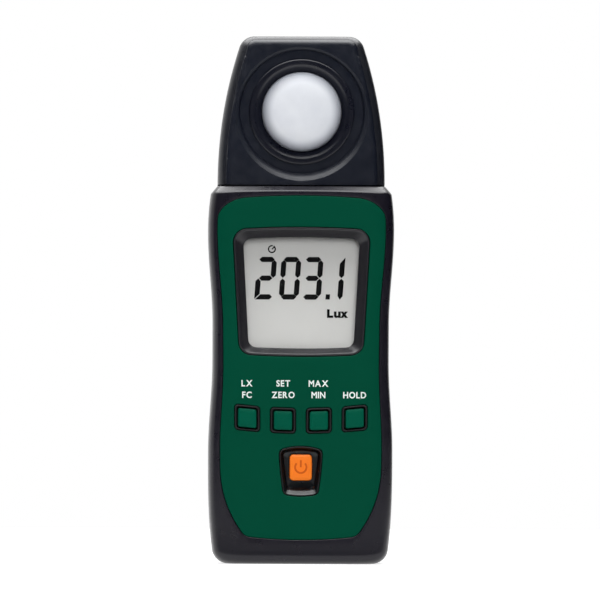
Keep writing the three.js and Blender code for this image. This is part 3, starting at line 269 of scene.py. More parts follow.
def make_piece(name, points, faces, finish, sharp=38):
    mesh = bpy.data.meshes.new(name)
    mesh.from_pydata([tuple(p) for p in np.asarray(points, float) * METRE], [], faces)
    shape = bmesh.new()
    shape.from_mesh(mesh)
    bmesh.ops.remove_doubles(shape, verts=shape.verts, dist=SAME_PLACE)
    bmesh.ops.recalc_face_normals(shape, faces=shape.faces)
    shape.to_mesh(mesh)
    shape.free()
    mesh.shade_smooth()
    mesh.set_sharp_from_angle(angle=math.radians(sharp))
    mesh.materials.append(finish)
    return new_object(name, mesh)


def place(piece, body, slot, *replaced):
    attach(piece, body)
    if replaced:
        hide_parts(*replaced)
    print(piece.name, "on", body, "-", len(piece.data.polygons), "faces")


def neighbours(count):
    """Each place of a closed ring with the next one."""
    return [(i, (i + 1) % count) for i in range(count)]


def show(name, shape, finish, slot, *replaced, body="housing", sharp=38):
    """Makes a piece, and says which body it moves with and which CAD pieces it stands for."""
    place(make_piece(name, *shape, finish, sharp), body, slot, *replaced)


def loft(rings, closed=False):
    """Skins equally long rings one after another, and caps both ends or closes on itself."""
    count = len(rings[0])
    points = np.concatenate([np.asarray(r, float) for r in rings])
    faces = []
    for r in range(len(rings) if closed else len(rings) - 1):
        low, high = r * count, ((r + 1) % len(rings)) * count
        faces += [(low + i, low + j, high + j, high + i) for i, j in neighbours(count)]
    if not closed:
        faces.append(tuple(range(count))[::-1])
        faces.append(tuple(range(len(points) - count, len(points))))
    return points, faces


def joined(*parts):
    points, faces, start = [], [], 0
    for more_points, more_faces in parts:
        points.append(np.asarray(more_points, float))
        faces += [tuple(i + start for i in f) for f in more_faces]
        start += len(more_points)
    return np.concatenate(points), faces


def at_depth(outline, y):
    outline = np.asarray(outline, float)
    depth = np.full(len(outline), y) if np.isscalar(y) else y
    return np.stack([outline[:, 0], depth, outline[:, 1]], -1)


def full_turn(steps):
    return np.linspace(0, 2 * math.pi, steps, endpoint=False)


def arc(x, z, radius, angles):
    """Points at these angles on a circle round x and z."""
    return [(x + radius * math.cos(a), z + radius * math.sin(a)) for a in angles]


def circle(radius, x=0.0, z=0.0, steps=48):
    return np.array(arc(x, z, radius, full_turn(steps)))


def turned(profile, x, z, steps):
    """A closed profile of (radius, depth) turned about an axis along Y."""
    return [at_depth(circle(radius, x, z, steps), y) for radius, y in profile]


# %% [markdown]
# ## Laying a patch on the wall
#
# A wall with openings is cut like a sewing pattern. `patch` fills an outline with points: rows and
# columns of the wall where it is whole, and the outline's own points along its edges. Blender's
# Delaunay function joins them to well-shaped triangles. A boolean cut would be shorter, but it
# leaves long thin faces along the cut, and those catch the light.

# %% Fill an outline with triangles
CLEAR_OF_EDGE = 0.32


def inside(points, loop):
    x, y = points[:, 0][:, None], points[:, 1][:, None]
    ax, ay = loop[:, 0][None], loop[:, 1][None]
    bx, by = np.roll(loop[:, 0], -1)[None], np.roll(loop[:, 1], -1)[None]
    crosses = (ay > y) != (by > y)
    with np.errstate(divide="ignore", invalid="ignore"):
        where = (bx - ax) * (y - ay) / (by - ay) + ax
    return np.sum(crosses & (x < where), axis=1) % 2 == 1


def distance_to(points, loop):
    start = loop[None]
    along = np.roll(loop, -1, axis=0)[None] - start
    reach = points[:, None] - start
    share = np.clip(np.sum(reach * along, -1) / (np.sum(along * along, -1) + 1e-12), 0, 1)
    return np.min(np.linalg.norm(reach - share[..., None] * along, axis=-1), axis=1)


def triangles(loops, more=()):
    """Joins outlines and further points to triangles; `sources` says where each vertex came from."""
    points, edges = [], []
    for loop in loops:
        start = len(points)
        points += [tuple(p) for p in loop]
        edges += [(start + i, start + j) for i, j in neighbours(len(loop))]
    points += [tuple(p) for p in more]
    made = geometry.delaunay_2d_cdt([Vector(p) for p in points], edges, [], 0, 1e-5)
    vertices, _, faces, sources, *_ = made
    return points, vertices, np.array(faces), sources


def patch(outer, holes, columns, rows, extra=None):
    loops = [np.asarray(loop, float) for loop in (outer, *holes)]
    grid = np.stack(np.meshgrid(columns, rows), -1).reshape(-1, 2)
    grid = grid[inside(grid, loops[0])]
    for hole in loops[1:]:
        grid = grid[~inside(grid, hole)]
    for loop in loops:
        grid = grid[distance_to(grid, loop) > CLEAR_OF_EDGE]
    if extra is not None:
        grid = np.concatenate([grid, extra])
    points, made, faces, sources = triangles(loops, grid)
    made = np.array([points[source[0]] if source else tuple(v) for v, source in zip(made, sources)])
    middle = made[faces].mean(axis=1)
    keep = inside(middle, loops[0])
    for hole in loops[1:]:
        keep &= ~inside(middle, hole)
    return made, [tuple(int(i) for i in f) for f in faces[keep]]


# %% [markdown]
# ## From a skin to a moulding
#
# A moulded wall has a thickness, and its edges are never knife sharp: the tool that makes it has a
# small radius there. `moulding` takes an open skin, follows each of its rims, rolls the rim over by
# a quarter circle, runs it down through the wall and closes it with an inner skin. The skin is
# drawn smaller by the radius, so the finished edge lands where the CAD piece has it.

# %% Roll the rims and close the wall
def merged(points, faces):
    _, first, index = np.unique(np.round(points, 4), axis=0, return_index=True, return_inverse=True)
    index = index.reshape(-1)
    kept = []
    for face in faces:
        face = [int(index[i]) for i in face]
        face = [v for i, v in enumerate(face) if v != face[i - 1]]
        if len(face) > 2:
            kept.append(tuple(face))
    return points[first], kept


def facing_out(points, faces, middle):
    turn = 0.0
    for face in faces:
        a, b, c = (points[i] for i in face[:3])
        turn += np.dot(np.cross(b - a, c - a), (a + b + c) / 3 - middle)
    return faces if turn > 0 else [face[::-1] for face in faces]


def point_normals(points, faces):
    normals = np.zeros_like(points)
    for face in faces:
        ring = points[list(face)]
        normal = np.cross(ring - ring[0], np.roll(ring, -1, axis=0) - ring[0]).sum(axis=0)
        normals[list(face)] += normal
    return normals / (np.linalg.norm(normals, axis=1, keepdims=True) + 1e-12)


def rims(faces):
    used = {(f[i - 1], f[i]) for f in faces for i in range(len(f))}
    follow = {a: b for a, b in used if (b, a) not in used}
    found = []
    while follow:
        start, after = follow.popitem()
        rim = [start]
        while after != start:
            rim.append(after)
            after = follow.pop(after)
        found.append(rim)
    return found


ROLL_STEPS = 4


def rolled(radius):
    """Steps (outwards, down) of a quarter circle that rounds a rim."""
    angles = [math.pi / 2 * (k + 1) / ROLL_STEPS for k in range(ROLL_STEPS)]
    return [(radius * math.sin(a), radius * (1 - math.cos(a))) for a in angles]


def moulding(points, faces, thickness, edge, special=None, inner=None):
    normals = point_normals(points, faces)
    count = len(points)
    parts = [points, points - thickness * normals if inner is None else inner]
    all_faces = list(faces) + [tuple(i + count for i in f[::-1]) for f in faces]
    total = 2 * count
    for rim in rims(faces):
        at, normal = points[rim], normals[rim]
        along = np.roll(at, -1, axis=0) - np.roll(at, 1, axis=0)
        side = np.cross(along, normal)
        side /= np.linalg.norm(side, axis=1, keepdims=True) + 1e-12
        rings = special(at, normal, side) if special else None
        if rings is None:
            outline = edge + [(edge[-1][0], thickness)]
            rings = [at + out * side - down * normal for out, down in outline]
        bands = [rim]
        for ring in rings:
            bands.append(list(range(total, total + len(ring))))
            parts.append(ring)
            total += len(ring)
        bands.append([i + count for i in rim])
        for last, new in zip(bands, bands[1:]):
            all_faces += [(last[j], last[i], new[i], new[j]) for i, j in neighbours(len(rim))]
    return np.concatenate(parts), all_faces


# %% [markdown]
# ## Finishes
#
# Each finish is a node material whose detail has its real size, because the texture coordinates are
# in metres. A plastic has three things that a flat colour lacks: a faint cloudiness in its colour,
# an uneven gloss, and the fine pits that spark erosion leaves in the mould.

# %% Colours and a moulded plastic
def linear(red, green, blue):
    def one(v):
        v /= 255
        return v / 12.92 if v <= 0.04045 else ((v + 0.055) / 1.055) ** 2.4

    return one(red), one(green), one(blue), 1.0


def shaded(colour, factor):
    return (*(min(1.0, c * factor) for c in colour[:3]), 1.0)


def new_finish(name):
    finish = bpy.data.materials.new(name)
    finish.use_nodes = True
    tree = finish.node_tree
    return finish, tree, tree.nodes["Principled BSDF"]


def fill_in(tree, node, values):
    """Sets each input of a node, or links it where the value is the output of another node."""
    for key, value in values.items():
        if isinstance(value, bpy.types.NodeSocket):
            tree.links.new(value, node.inputs[key])
        else:
            node.inputs[key].default_value = value


def add_node(tree, kind, inputs=None, **settings):
    node = tree.nodes.new(kind)
    for name, value in settings.items():
        setattr(node, name, value)
    fill_in(tree, node, inputs or {})
    return node


def places(tree):
    """Places on the piece in metres, which give every texture its real size."""
    return add_node(tree, "ShaderNodeTexCoord").outputs["Object"]


def noise(tree, coords, size_mm, detail=3.0, rough=0.5):
    """Noise whose blobs are about size_mm wide."""
    inputs = {"Vector": coords, "Scale": 1000.0 / size_mm, "Detail": detail, "Roughness": rough}
    return add_node(tree, "ShaderNodeTexNoise", inputs).outputs["Fac"]


def spread(tree, source, low, high, start=0.3, stop=0.7, **settings):
    """Stretches the part of a value between start and stop to the range from low to high."""
    inputs = {"Value": source, "From Min": start, "From Max": stop, "To Min": low, "To Max": high}
    return add_node(tree, "ShaderNodeMapRange", inputs, **settings).outputs["Result"]


MIX_FACTOR, MIX_FIRST, MIX_SECOND, MIX_RESULT = 0, 6, 7, 2


def tinted(tree, source, dark, light):
    inputs = {MIX_FACTOR: source, MIX_FIRST: dark, MIX_SECOND: light}
    return add_node(tree, "ShaderNodeMix", inputs, data_type="RGBA").outputs[MIX_RESULT]


def pitted(tree, height, depth_um):
    """A skin with pits or scratches of this depth."""
    inputs = {"Strength": 1.0, "Distance": depth_um * 1e-6, "Height": height}
    return add_node(tree, "ShaderNodeBump", inputs).outputs["Normal"]


def plastic(name, colour, gloss, grain_mm=0.3, grain_um=6.0, cloud=0.06, specular=0.4, cloud_mm=14.0):
    """A moulded plastic or rubber: cloudy colour, uneven gloss and a pitted skin."""
    finish, tree, shader = new_finish(name)
    coords = places(tree)
    mottle = spread(tree, noise(tree, coords, cloud_mm, 4.0), 0.0, 1.0)
    wear = noise(tree, coords, 2.2, 5.0, 0.6)
    fill_in(tree, shader, {
        "Base Color": tinted(tree, mottle, shaded(colour, 1 - cloud), shaded(colour, 1 + cloud)),
        "Roughness": spread(tree, wear, gloss - 0.04, gloss + 0.05),
        "Normal": pitted(tree, noise(tree, coords, grain_mm, 2.0), grain_um),
        "Specular IOR Level": specular,
    })
    return finish


# %% [markdown]
# The other finishes are built on the same helper or on a small tree of their own: the opal cap
# lets light in a little way before it scatters and has painted shade at its rim, the metals are
# drawn or plated, and the display glass is a pale grey that is never quite even, with painted
# shade towards its top.

# %% The finishes of this meter
# After the colour come roughness, grain in mm, pits in um, cloudiness, specular level and cloud in mm.
green = plastic("panel green", linear(0, 73, 53), 0.45, 0.22, 4.0, 0.04, 0.04, 30.0)
key_green = plastic("key green", linear(0, 86, 65), 0.40, 0.18, 3.0, 0.04, 0.05)
rubber = plastic("jacket rubber", linear(21, 19, 29), 0.3, 0.35, 8.0, 0.10, 0.38, 20.0)
black = plastic("case black", linear(20, 22, 30), 0.38, 0.28, 7.0, 0.08, 0.5)
head_black = plastic("head black", linear(12, 17, 30), 0.33, 0.30, 5.0, 0.08, 0.58)
collar_black = plastic("collar black", linear(13, 15, 27), 0.3, 0.16, 3.0, 0.06, 0.5)
trim = plastic("trim black", linear(29, 28, 33), 0.33, 0.16, 3.0, 0.06, 0.45)
seal = plastic("key seal rubber", linear(15, 16, 18), 0.55, 0.15, 4.0, 0.08, 0.3)
cup_black = plastic("cup black", linear(3, 8, 12), 0.3, 0.15, 3.0, 0.08, 0.45)
orange = plastic("power orange", linear(255, 127, 26), 0.45, 0.2, 3.0, 0.03, 0.3)
orange_dark = plastic("power mark", linear(208, 88, 14), 0.5, 0.2, 3.0, 0.03, 0.2)
ink = plastic("legend ink", linear(240, 248, 244), 0.55, 0.12, 3.0, 0.03, 0.2)
digit_ink = plastic("display ink", linear(8, 8, 9), 0.5, 0.2, 1.0, 0.05, 0.1)
holder_white = plastic("holder white", linear(228, 226, 218), 0.5)
connector = plastic("connector rubber", linear(30, 30, 33), 0.6)
chip_black = plastic("potting resin", linear(16, 16, 17), 0.35, 0.6, 12.0)
ribbon = plastic("ribbon", linear(222, 219, 210), 0.4, 0.5, 3.0)
sleeve = plastic("cell sleeve", linear(40, 42, 48), 0.28, 1.5, 1.0, 0.03, 0.5)


PAINTED_RIM_SHADE = (0.0070, 0.0102)  # metres from the dome's axis between which painted shade darkens its rim
DISPLAY_PAINTED_SHADE = (0.054, 0.083)  # heights in metres between which painted shade darkens the display's face
SCRATCH_MM, SCRATCH_LENGTH = 0.08, 12.0  # width of a scratch, and its length in widths


def opal_finish():
    """Milky plastic that lets light in a little way. Its rim is painted darker, as painted shade."""
    finish, tree, shader = new_finish("opal")
    coords = places(tree)
    cloud = spread(tree, noise(tree, coords, 5.0, 3.0), 0.0, 1.0)
    colour = tinted(tree, cloud, linear(230, 233, 240), linear(238, 241, 247))
    flat = {0: coords, 1: (1, 0, 1), 2: (0, 0, -SENSOR / 1000)}
    from_axis = add_node(tree, "ShaderNodeVectorMath", flat, operation="MULTIPLY_ADD").outputs["Vector"]
    radius = add_node(tree, "ShaderNodeVectorMath", {0: from_axis}, operation="LENGTH").outputs["Value"]
    # Painted shade: towards the dome's rim the colour turns to a darker grey.
    thin = spread(tree, radius, 0.0, 1.0, *PAINTED_RIM_SHADE, interpolation_type="SMOOTHSTEP")
    fill_in(tree, shader, {
        "Base Color": tinted(tree, thin, colour, linear(158, 162, 172)),
        "Roughness": spread(tree, noise(tree, coords, 0.8, 4.0), 0.42, 0.5),
        "Normal": pitted(tree, noise(tree, coords, 0.2, 2.0), 2.0),
        "Subsurface Weight": 0.35,
        "Subsurface Radius": (1.0, 1.0, 1.0),
        "Subsurface Scale": 0.0012,
        "Specular IOR Level": 0.2,
    })
    return finish


def metal(name, colour, gloss):
    """A drawn or plated metal, with fine scratches along Z."""
    finish, tree, shader = new_finish(name)
    coords = places(tree)
    squeeze = add_node(tree, "ShaderNodeMapping", {"Vector": coords, "Scale": (1, 1, 1 / SCRATCH_LENGTH)})
    lines = noise(tree, squeeze.outputs["Vector"], SCRATCH_MM, 3.0)
    stain = spread(tree, noise(tree, coords, 3.0, 4.0), 0.0, 1.0)
    fill_in(tree, shader, {
        "Base Color": tinted(tree, stain, shaded(colour, 0.86), colour),
        "Roughness": spread(tree, lines, gloss - 0.08, gloss + 0.1),
        "Normal": pitted(tree, lines, 2.0),
        "Metallic": 1.0,
    })
    return finish


def display_finish():
    """The pale face of the liquid crystal: a little cloudy, with painted shade that darkens it towards
    its top.
    """
    finish, tree, shader = new_finish("display face")
    coords = places(tree)
    cloud = spread(tree, noise(tree, coords, 9.0, 2.0), 0.0, 1.0)
    grain = spread(tree, noise(tree, coords, 0.09, 2.0), 0.0, 1.0)
    mixed = add_node(tree, "ShaderNodeMath", {0: grain, 1: 0.3, 2: cloud}, operation="MULTIPLY_ADD")
    colour = tinted(tree, mixed.outputs[0], linear(232, 232, 229), linear(237, 237, 234))
    # Painted shade: the face turns a darker grey towards its top, where the bezel's upper wall shades it.
    height = add_node(tree, "ShaderNodeSeparateXYZ", {0: coords}).outputs["Z"]
    painted_shade = spread(tree, height, 0.0, 1.0, *DISPLAY_PAINTED_SHADE)
    fill_in(tree, shader, {
        "Base Color": tinted(tree, painted_shade, colour, linear(196, 196, 194)),
        "Roughness": spread(tree, grain, 0.45, 0.55),
        "Specular IOR Level": 0.2,
    })
    return finish


def window_finish():
    """Clear acrylic, seen almost only by its gloss."""
    finish, tree, shader = new_finish("window")
    haze = noise(tree, places(tree), 4.0, 4.0)
    fill_in(tree, shader, {
        "Base Color": tinted(tree, haze, linear(20, 22, 23), linear(30, 32, 33)),
        "Roughness": spread(tree, haze, 0.04, 0.09),
        "Alpha": 0.03,
        "Specular IOR Level": 0.25,
    })
    return finish


def board_finish():
    """Green solder resist over copper tracks on a 1.27 mm grid."""
    finish, tree, shader = new_finish("solder resist")
    coords = places(tree)
    turned_up = add_node(tree, "ShaderNodeMapping", {"Vector": coords, "Rotation": (math.pi / 2, 0, 0)})
    tracks = add_node(tree, "ShaderNodeTexBrick", {
        "Vector": turned_up.outputs["Vector"],
        "Scale": 1000.0 / 2.54,
        "Mortar Size": 0.06,
        "Color1": linear(28, 84, 50),
        "Color2": linear(32, 92, 55),
        "Mortar": linear(52, 120, 70),
    }, offset=0.5)
    fill_in(tree, shader, {
        "Base Color": tracks.outputs["Color"],
        "Roughness": spread(tree, noise(tree, coords, 1.5, 3.0), 0.3, 0.42),
    })
    return finish


opal = opal_finish()
screw_metal = metal("blackened steel", linear(92, 92, 96), 0.38)
plated = metal("nickel plate", linear(196, 196, 192), 0.25)
can_metal = metal("plated can", linear(190, 192, 196), 0.3)
display_face = display_finish()
window_clear = window_finish()
resist = board_finish()
filter_green = plastic("filter glass", linear(96, 142, 106), 0.12, 1.0, 0.5)
print(len(bpy.data.materials), "finishes")

# %% [markdown]
# ## Outlines
#
# The openings and panels are drawn in the plane, as a maker draws them on the front view. Most are
# symmetric, so only the right half is written, from the middle of the foot to the middle of the
# top. The argument `grow` moves an outline outwards, which gives the clearance round a piece and
# the smaller skin that its rolled edge starts from.

# %% Display, panel and head outlines
DISPLAY_FOOT, DISPLAY_TOP, DISPLAY_BOW = 52.85, 84.3, 0.65
BEZEL_INSET, BEZEL_FOOT_INSET = 2.65, 2.1
PANEL_FOOT, PANEL_TOP, HIP, BROW_BOW = 6.15, 92.8, 25.0, 1.5
COVER_FOOT = 95.5
HEAD_FRAME = 1.9


def mirrored(half):
    half = np.asarray(half, float)
    return np.concatenate([half, half[-2:0:-1] * (-1, 1)])


def moved_out(loop, by):
    """Moves an outline square to itself, away from the filled side on its left."""
    ahead = np.roll(loop, -1, axis=0) - loop
    ahead /= np.linalg.norm(ahead, axis=1, keepdims=True)
    out = np.stack([ahead[:, 1], -ahead[:, 0]], -1)
    before = np.roll(out, 1, axis=0)
    both = out + before
    length = np.maximum(1 + (out * before).sum(axis=1, keepdims=True), 0.4)
    return loop + by * both / length


def display_outline(grow, inset=0.0, foot_inset=None):
    foot_inset = inset if foot_inset is None else foot_inset
    top, foot = DISPLAY_TOP + grow - inset, DISPLAY_FOOT - grow + foot_inset
    corner = max(3.3 + grow - inset / 2, 0.6)

    def side(z):
        return 15.75 + 1.75 * (z - DISPLAY_FOOT) / (DISPLAY_TOP - DISPLAY_FOOT) + grow - inset

    foot_turn, top_turn = foot + corner, top - corner
    foot_centre, top_centre = side(foot_turn) - corner, side(top_turn) - corner
    half = [(foot_centre * t, foot, -1) for t in np.linspace(0, 1, 20)[:-1]]
    half += [(foot_centre + corner * math.sin(a), foot_turn - corner * math.cos(a), -1) for a in QUARTER]
    for t in np.linspace(0, 1, 32)[1:-1]:
        z = foot_turn + t * (top_turn - foot_turn)
        half.append((side(z), z, 2 * t - 1))
    half += [(*p, 1) for p in arc(top_centre, top_turn, corner, QUARTER)]
    half += [(top_centre * (1 - t), top, 1) for t in np.linspace(0, 1, 20)[1:]]
    return mirrored([(x, z + bow * DISPLAY_BOW * (1 - (x / 17.5) ** 2)) for x, z, bow in half])


def panel_outline(grow):
    def side(z):
        share = np.clip((z - HIP) / (CHEST_HEIGHT - HIP), 0, 1)
        return body_half(z) - 2.9 + 0.7 * share

    def foot(x):
        return PANEL_FOOT + 0.85 * (x / 14.2) ** 2

    def brow(x):
        return PANEL_TOP - BROW_BOW * (x / LIP_HALF) ** 2

    half = [(x, foot(x)) for x in np.linspace(0, 12.6, 16)[:-1]]
    hip = float(side(HIP))
    corner = np.array((14.2, foot(14.2)))
    turn_end = corner + (0.9, 1.5)
    half += list(bezier((12.6, foot(12.6)), corner, turn_end, 8))
    half += list(bezier(turn_end, (hip, HIP - 9), (hip, HIP), 18)[1:])
    shoulder = PANEL_TOP - 6
    half += [(float(side(z)), z) for z in np.linspace(HIP, shoulder, 52)[1:-1]]
    end = float(side(shoulder)) - 7
    for a in np.linspace(0, math.pi / 2, 15):
        x = end + 7 * math.cos(a)
        half.append((x, shoulder + (brow(x) - shoulder) * math.sin(a)))
    half += [(x, brow(x)) for x in np.linspace(end, 0, 15)[1:]]
    return moved_out(mirrored(half), grow)


def head_outline(inset, foot):
    corner = max(3.5 - inset / 2, 0.6)
    top = TOP - inset + 1.06
    side_top = top - corner
    foot_half = float(head_half(foot)) - inset
    half = [(x, foot) for x in np.linspace(0, foot_half, 18)[:-1]]
    half += [(float(head_half(z)) - inset, z) for z in np.linspace(foot, side_top, 26)]
    centre = float(head_half(side_top)) - inset - corner
    half += arc(centre, side_top, corner, QUARTER[1:])
    half += [(x, top) for x in np.linspace(centre, 0, 11)[1:]]
    return mirrored(half)


def oblong(half_width, half_height, corner, x=0.0, z=0.0, steps=6, side=0):
    """A rounded rectangle; `side` adds points along its straight sides."""
    points = []
    for i, (sx, sz) in enumerate(((1, -1), (1, 1), (-1, 1), (-1, -1))):
        centre = (x + sx * (half_width - corner), z + sz * (half_height - corner))
        points += arc(*centre, corner, np.linspace(0, math.pi / 2, steps + 1) + (i - 1) * math.pi / 2)
    if side:
        points = np.array(points)
        longer = []
        for i, p in enumerate(points):
            longer.append(p)
            if (i + 1) % (steps + 1) == 0:
                after = points[(i + 1) % len(points)]
                longer += [p + (after - p) * t for t in np.linspace(0, 1, side + 2)[1:-1]]
        points = longer
    return np.array(points, float)


print("Panel outline:", len(panel_outline(0)), "points; display:", len(display_outline(0)))

# %% [markdown]
# ## Rows and columns of the wall
#
# The wall's grid is denser where the surface bends. Columns are spaced by length and by turn
# together, so the tight corners get a column every few degrees while the flats get one every
# 1.4 mm. The rows are the levels themselves.

# %% Columns that gather at the corners
COLUMN_WIDTH, COLUMN_TURN = 1.4, 0.1
ring_angle = np.unwrap(np.arctan2(ring_step_y, ring_step_x))
ring_bend = np.r_[0, np.abs(np.diff(ring_angle))]
ring_need = np.cumsum(ring_step / COLUMN_WIDTH + ring_bend / COLUMN_TURN)
half_columns = np.interp(np.arange(0.5, ring_need[-1]), np.r_[0, ring_need], ARC)
COLUMNS = np.r_[-half_columns[::-1], half_columns]
print(len(COLUMNS), "columns and", len(WAY), "rows")


def on_wall(outline, to_pattern):
    return np.stack(to_pattern(outline[:, 0], outline[:, 1]), -1)


def laid(flat, faces, form):
    """Lays a flat patch on the housing, with its faces looking out."""
    points, faces = merged(form(flat[:, 0], flat[:, 1]), faces)
    return points, facing_out(points, faces, np.array((0, 0, 50.0)))


def flat_end(points, faces, way_points, up):
    """Closes a level end of the wall with one flat face, facing up or down."""
    index = {tuple(np.round(p, 4) + 0.0): i for i, p in enumerate(points)}
    ring = [index[tuple(np.round(p, 4) + 0.0)] for p in way_points]
    ring = [v for i, v in enumerate(ring) if v != ring[i - 1]]
    loop = points[ring]
    turn = np.cross(loop - loop[0], np.roll(loop, -1, axis=0) - loop[0]).sum(axis=0)[2]
    return faces + [tuple(ring if (turn > 0) == up else ring[::-1])]


# %% [markdown]
# ## Rubber jacket
#
# The jacket is moulded over the front case: it wraps the sides and the foot, and its upper edge is
# the sloping shoulder in front of the head. It is one skin with the panel's opening left out. The
# outline runs up the parting line on both sides, and the flat foot is one more face.

# %% Make the jacket
JACKET_ROLL, JACKET_WALL = 0.12, 1.1
BARE_EDGE = [(0.0, 0.05)]  # for pieces whose edge is hidden


def jacket_skin(inset=0.0):
    edge = JACKET_ROLL + inset
    parting_y = PARTING - SEAM / 2
    ways = np.r_[WAY[WAY < SHOULDER_WAY - edge - 0.05], SHOULDER_WAY - edge]
    side = parting_at(ways, parting_y) - edge
    across = np.linspace(-side[-1], side[-1], 60)[1:-1]
    foot = COLUMNS[np.abs(COLUMNS) < side[0] - 0.2]
    outer = [(s, w) for s, w in zip(side, ways)]
    outer += [(s, ways[-1]) for s in across[::-1]]
    outer += [(-s, w) for s, w in zip(side[::-1], ways[::-1])]
    outer += [(s, 0.0) for s in foot]
    hole = on_wall(panel_outline(SEAM + edge), on_front)
    flat, faces = patch(outer, [hole], COLUMNS, WAY[1:])
    points, faces = laid(flat, faces, housing)
    ground = housing(np.r_[-side[0], foot, side[0]], np.zeros(len(foot) + 2))
    return points, flat_end(points, faces, ground, up=False)


jacket_shell = moulding(*jacket_skin(), JACKET_WALL, rolled(JACKET_ROLL))
show("rubber_jacket", jacket_shell, rubber, "grip_rubber", "grip_surround")

# %% [markdown]
# ## Green front panel
#
# The front case shows as the green panel. Its skin lies on the same form as the jacket, and the
# display, the four keys and the power key look out through openings with rolled edges. Under the
# jacket the case goes on as a thinner wall, which is what one sees at the bottom of the seam.

# %% Key places on their arc
ROLL = 0.2
KEY_ROW, KEY_PITCH, KEY_ARC = 36.1, 9.03, 140.0
KEY_NAMES = ("key_1_units", "key_2_zero", "key_3_peak", "key_4_hold")
key_places = []
for i in range(4):
    angle = (i - 1.5) * KEY_PITCH / KEY_ARC
    x = KEY_ARC * math.sin(angle)
    z = KEY_ROW + KEY_ARC * (1 - math.cos(angle))
    key_places.append((x, z, angle))


def at_key(outline, key):
    """Moves an outline to its key's place and lets it follow the arc; its sides stay upright."""
    x, z, angle = key
    across, up = np.asarray(outline, float).T
    return np.stack([x + across, z + up + math.tan(angle) * across], -1)


print("Keys at", [(round(x, 2), round(z, 2)) for x, z, _ in key_places])

# %% [markdown]
# The power key stands in an opening that widens upwards and ends in a flat arch. Its outline could
# be a scaled rectangle, but the lean of its sides is what one recognises, so its right half is
# drawn point by point like the others.

# %% The power key's well
WELL_FOOT, WELL_HEIGHT = 17.1, 12.6


def well_outline(grow, inset=0.0, foot_inset=None):
    top_half, foot_half = 5.55 + grow - inset, 4.5 + grow - inset
    corner, top_corner = max(1.9 + grow - inset, 0.6), max(1.5 + grow - inset, 0.5)
    top = WELL_FOOT + WELL_HEIGHT + 0.1 + grow - inset
    foot = WELL_FOOT - 0.1 - grow + (inset if foot_inset is None else foot_inset)
    side, arch_end, foot_end = top - 0.75, top - 0.55, foot + 0.2
    lean = (top_half - foot_half) * corner / WELL_HEIGHT
    reach = foot_half - corner
    half = [(x, foot + 0.2 * (x / reach) ** 2) for x in np.linspace(0, reach, 5)[:-1]]
    half += list(bezier((reach, foot_end), (foot_half, foot_end), (foot_half + lean, foot + corner), 9))
    for t in np.linspace(0, 1, 10)[1:-1]:
        half.append((foot_half + lean + (top_half - foot_half - lean) * t + 0.1 * math.sin(math.pi * t),
                     foot + corner + (side - top_corner - corner - foot) * t))
    turn_end = (top_half - top_corner, arch_end)
    half += list(bezier((top_half, side - top_corner), (top_half, side), turn_end, 9))
    reach = top_half - top_corner
    for t in np.linspace(0, 1, 8)[1:]:
        x = reach * (1 - t)
        half.append((x, arch_end + 0.55 * (1 - (x / reach) ** 2)))
    return mirrored(half)


# %% Make the front panel
HOLE_GAP = 0.17
PANEL_WALL, UNDER_WALL, UNDER_DEPTH = 2.3, 0.9, 1.4
COLLAR_HALF = (3.12, 3.12)
KEY_HALF = (2.25, 2.33)
hole_corner = 1.0 + ROLL
panel_holes = [display_outline(ROLL), well_outline(ROLL)]
for key in key_places:
    half_width, half_height = (h + HOLE_GAP + ROLL for h in COLLAR_HALF)
    panel_holes.append(at_key(oblong(half_width, half_height, hole_corner, side=5), key))
flat, faces = patch(
    on_wall(panel_outline(-ROLL), on_front),
    [on_wall(hole, on_front) for hole in panel_holes],
    COLUMNS,
    WAY,
)
panel_shell = moulding(*laid(flat, faces, housing), PANEL_WALL, rolled(ROLL))

under_points, under_faces = jacket_skin(0.6)
under_points = under_points - UNDER_DEPTH * point_normals(under_points, under_faces)
under_shell = moulding(under_points, under_faces, UNDER_WALL, BARE_EDGE)
show("green_front_panel", joined(panel_shell, under_shell), green, "case_green", "front_case")

# %% [markdown]
# ## Rear case
#
# The rear case is the back half of the body, and above the shoulder it goes on round the head as
# its shell, leaving the front open for the cover. Seen as a pattern from the middle of the back,
# that is one sheet: narrow up to the shoulder, wider beside the cover, and closed right round
# above it. The battery door and the six screws get their openings in the same sheet.

# %% Openings in the back
DOOR_FOOT, DOOR_TOP, DOOR_HALF = 5.95, 63.7, 12.6
DOOR_SCREW = (0.0, 60.3)
CASE_SCREWS = [(-15.1, 10.0), (15.1, 10.0), (-16.1, 88.9), (16.1, 88.9)]
HEAD_SCREWS = [(-11.8035, 127.073), (11.8035, 127.073)]
SCREW_WELL, DOOR_CORNER = 2.4, 2.2


def door_outline(grow):
    half_height = (DOOR_TOP - DOOR_FOOT) / 2 + grow
    middle = (DOOR_TOP + DOOR_FOOT) / 2
    return oblong(DOOR_HALF + grow, half_height, DOOR_CORNER + grow, 0, middle, 8, 24)


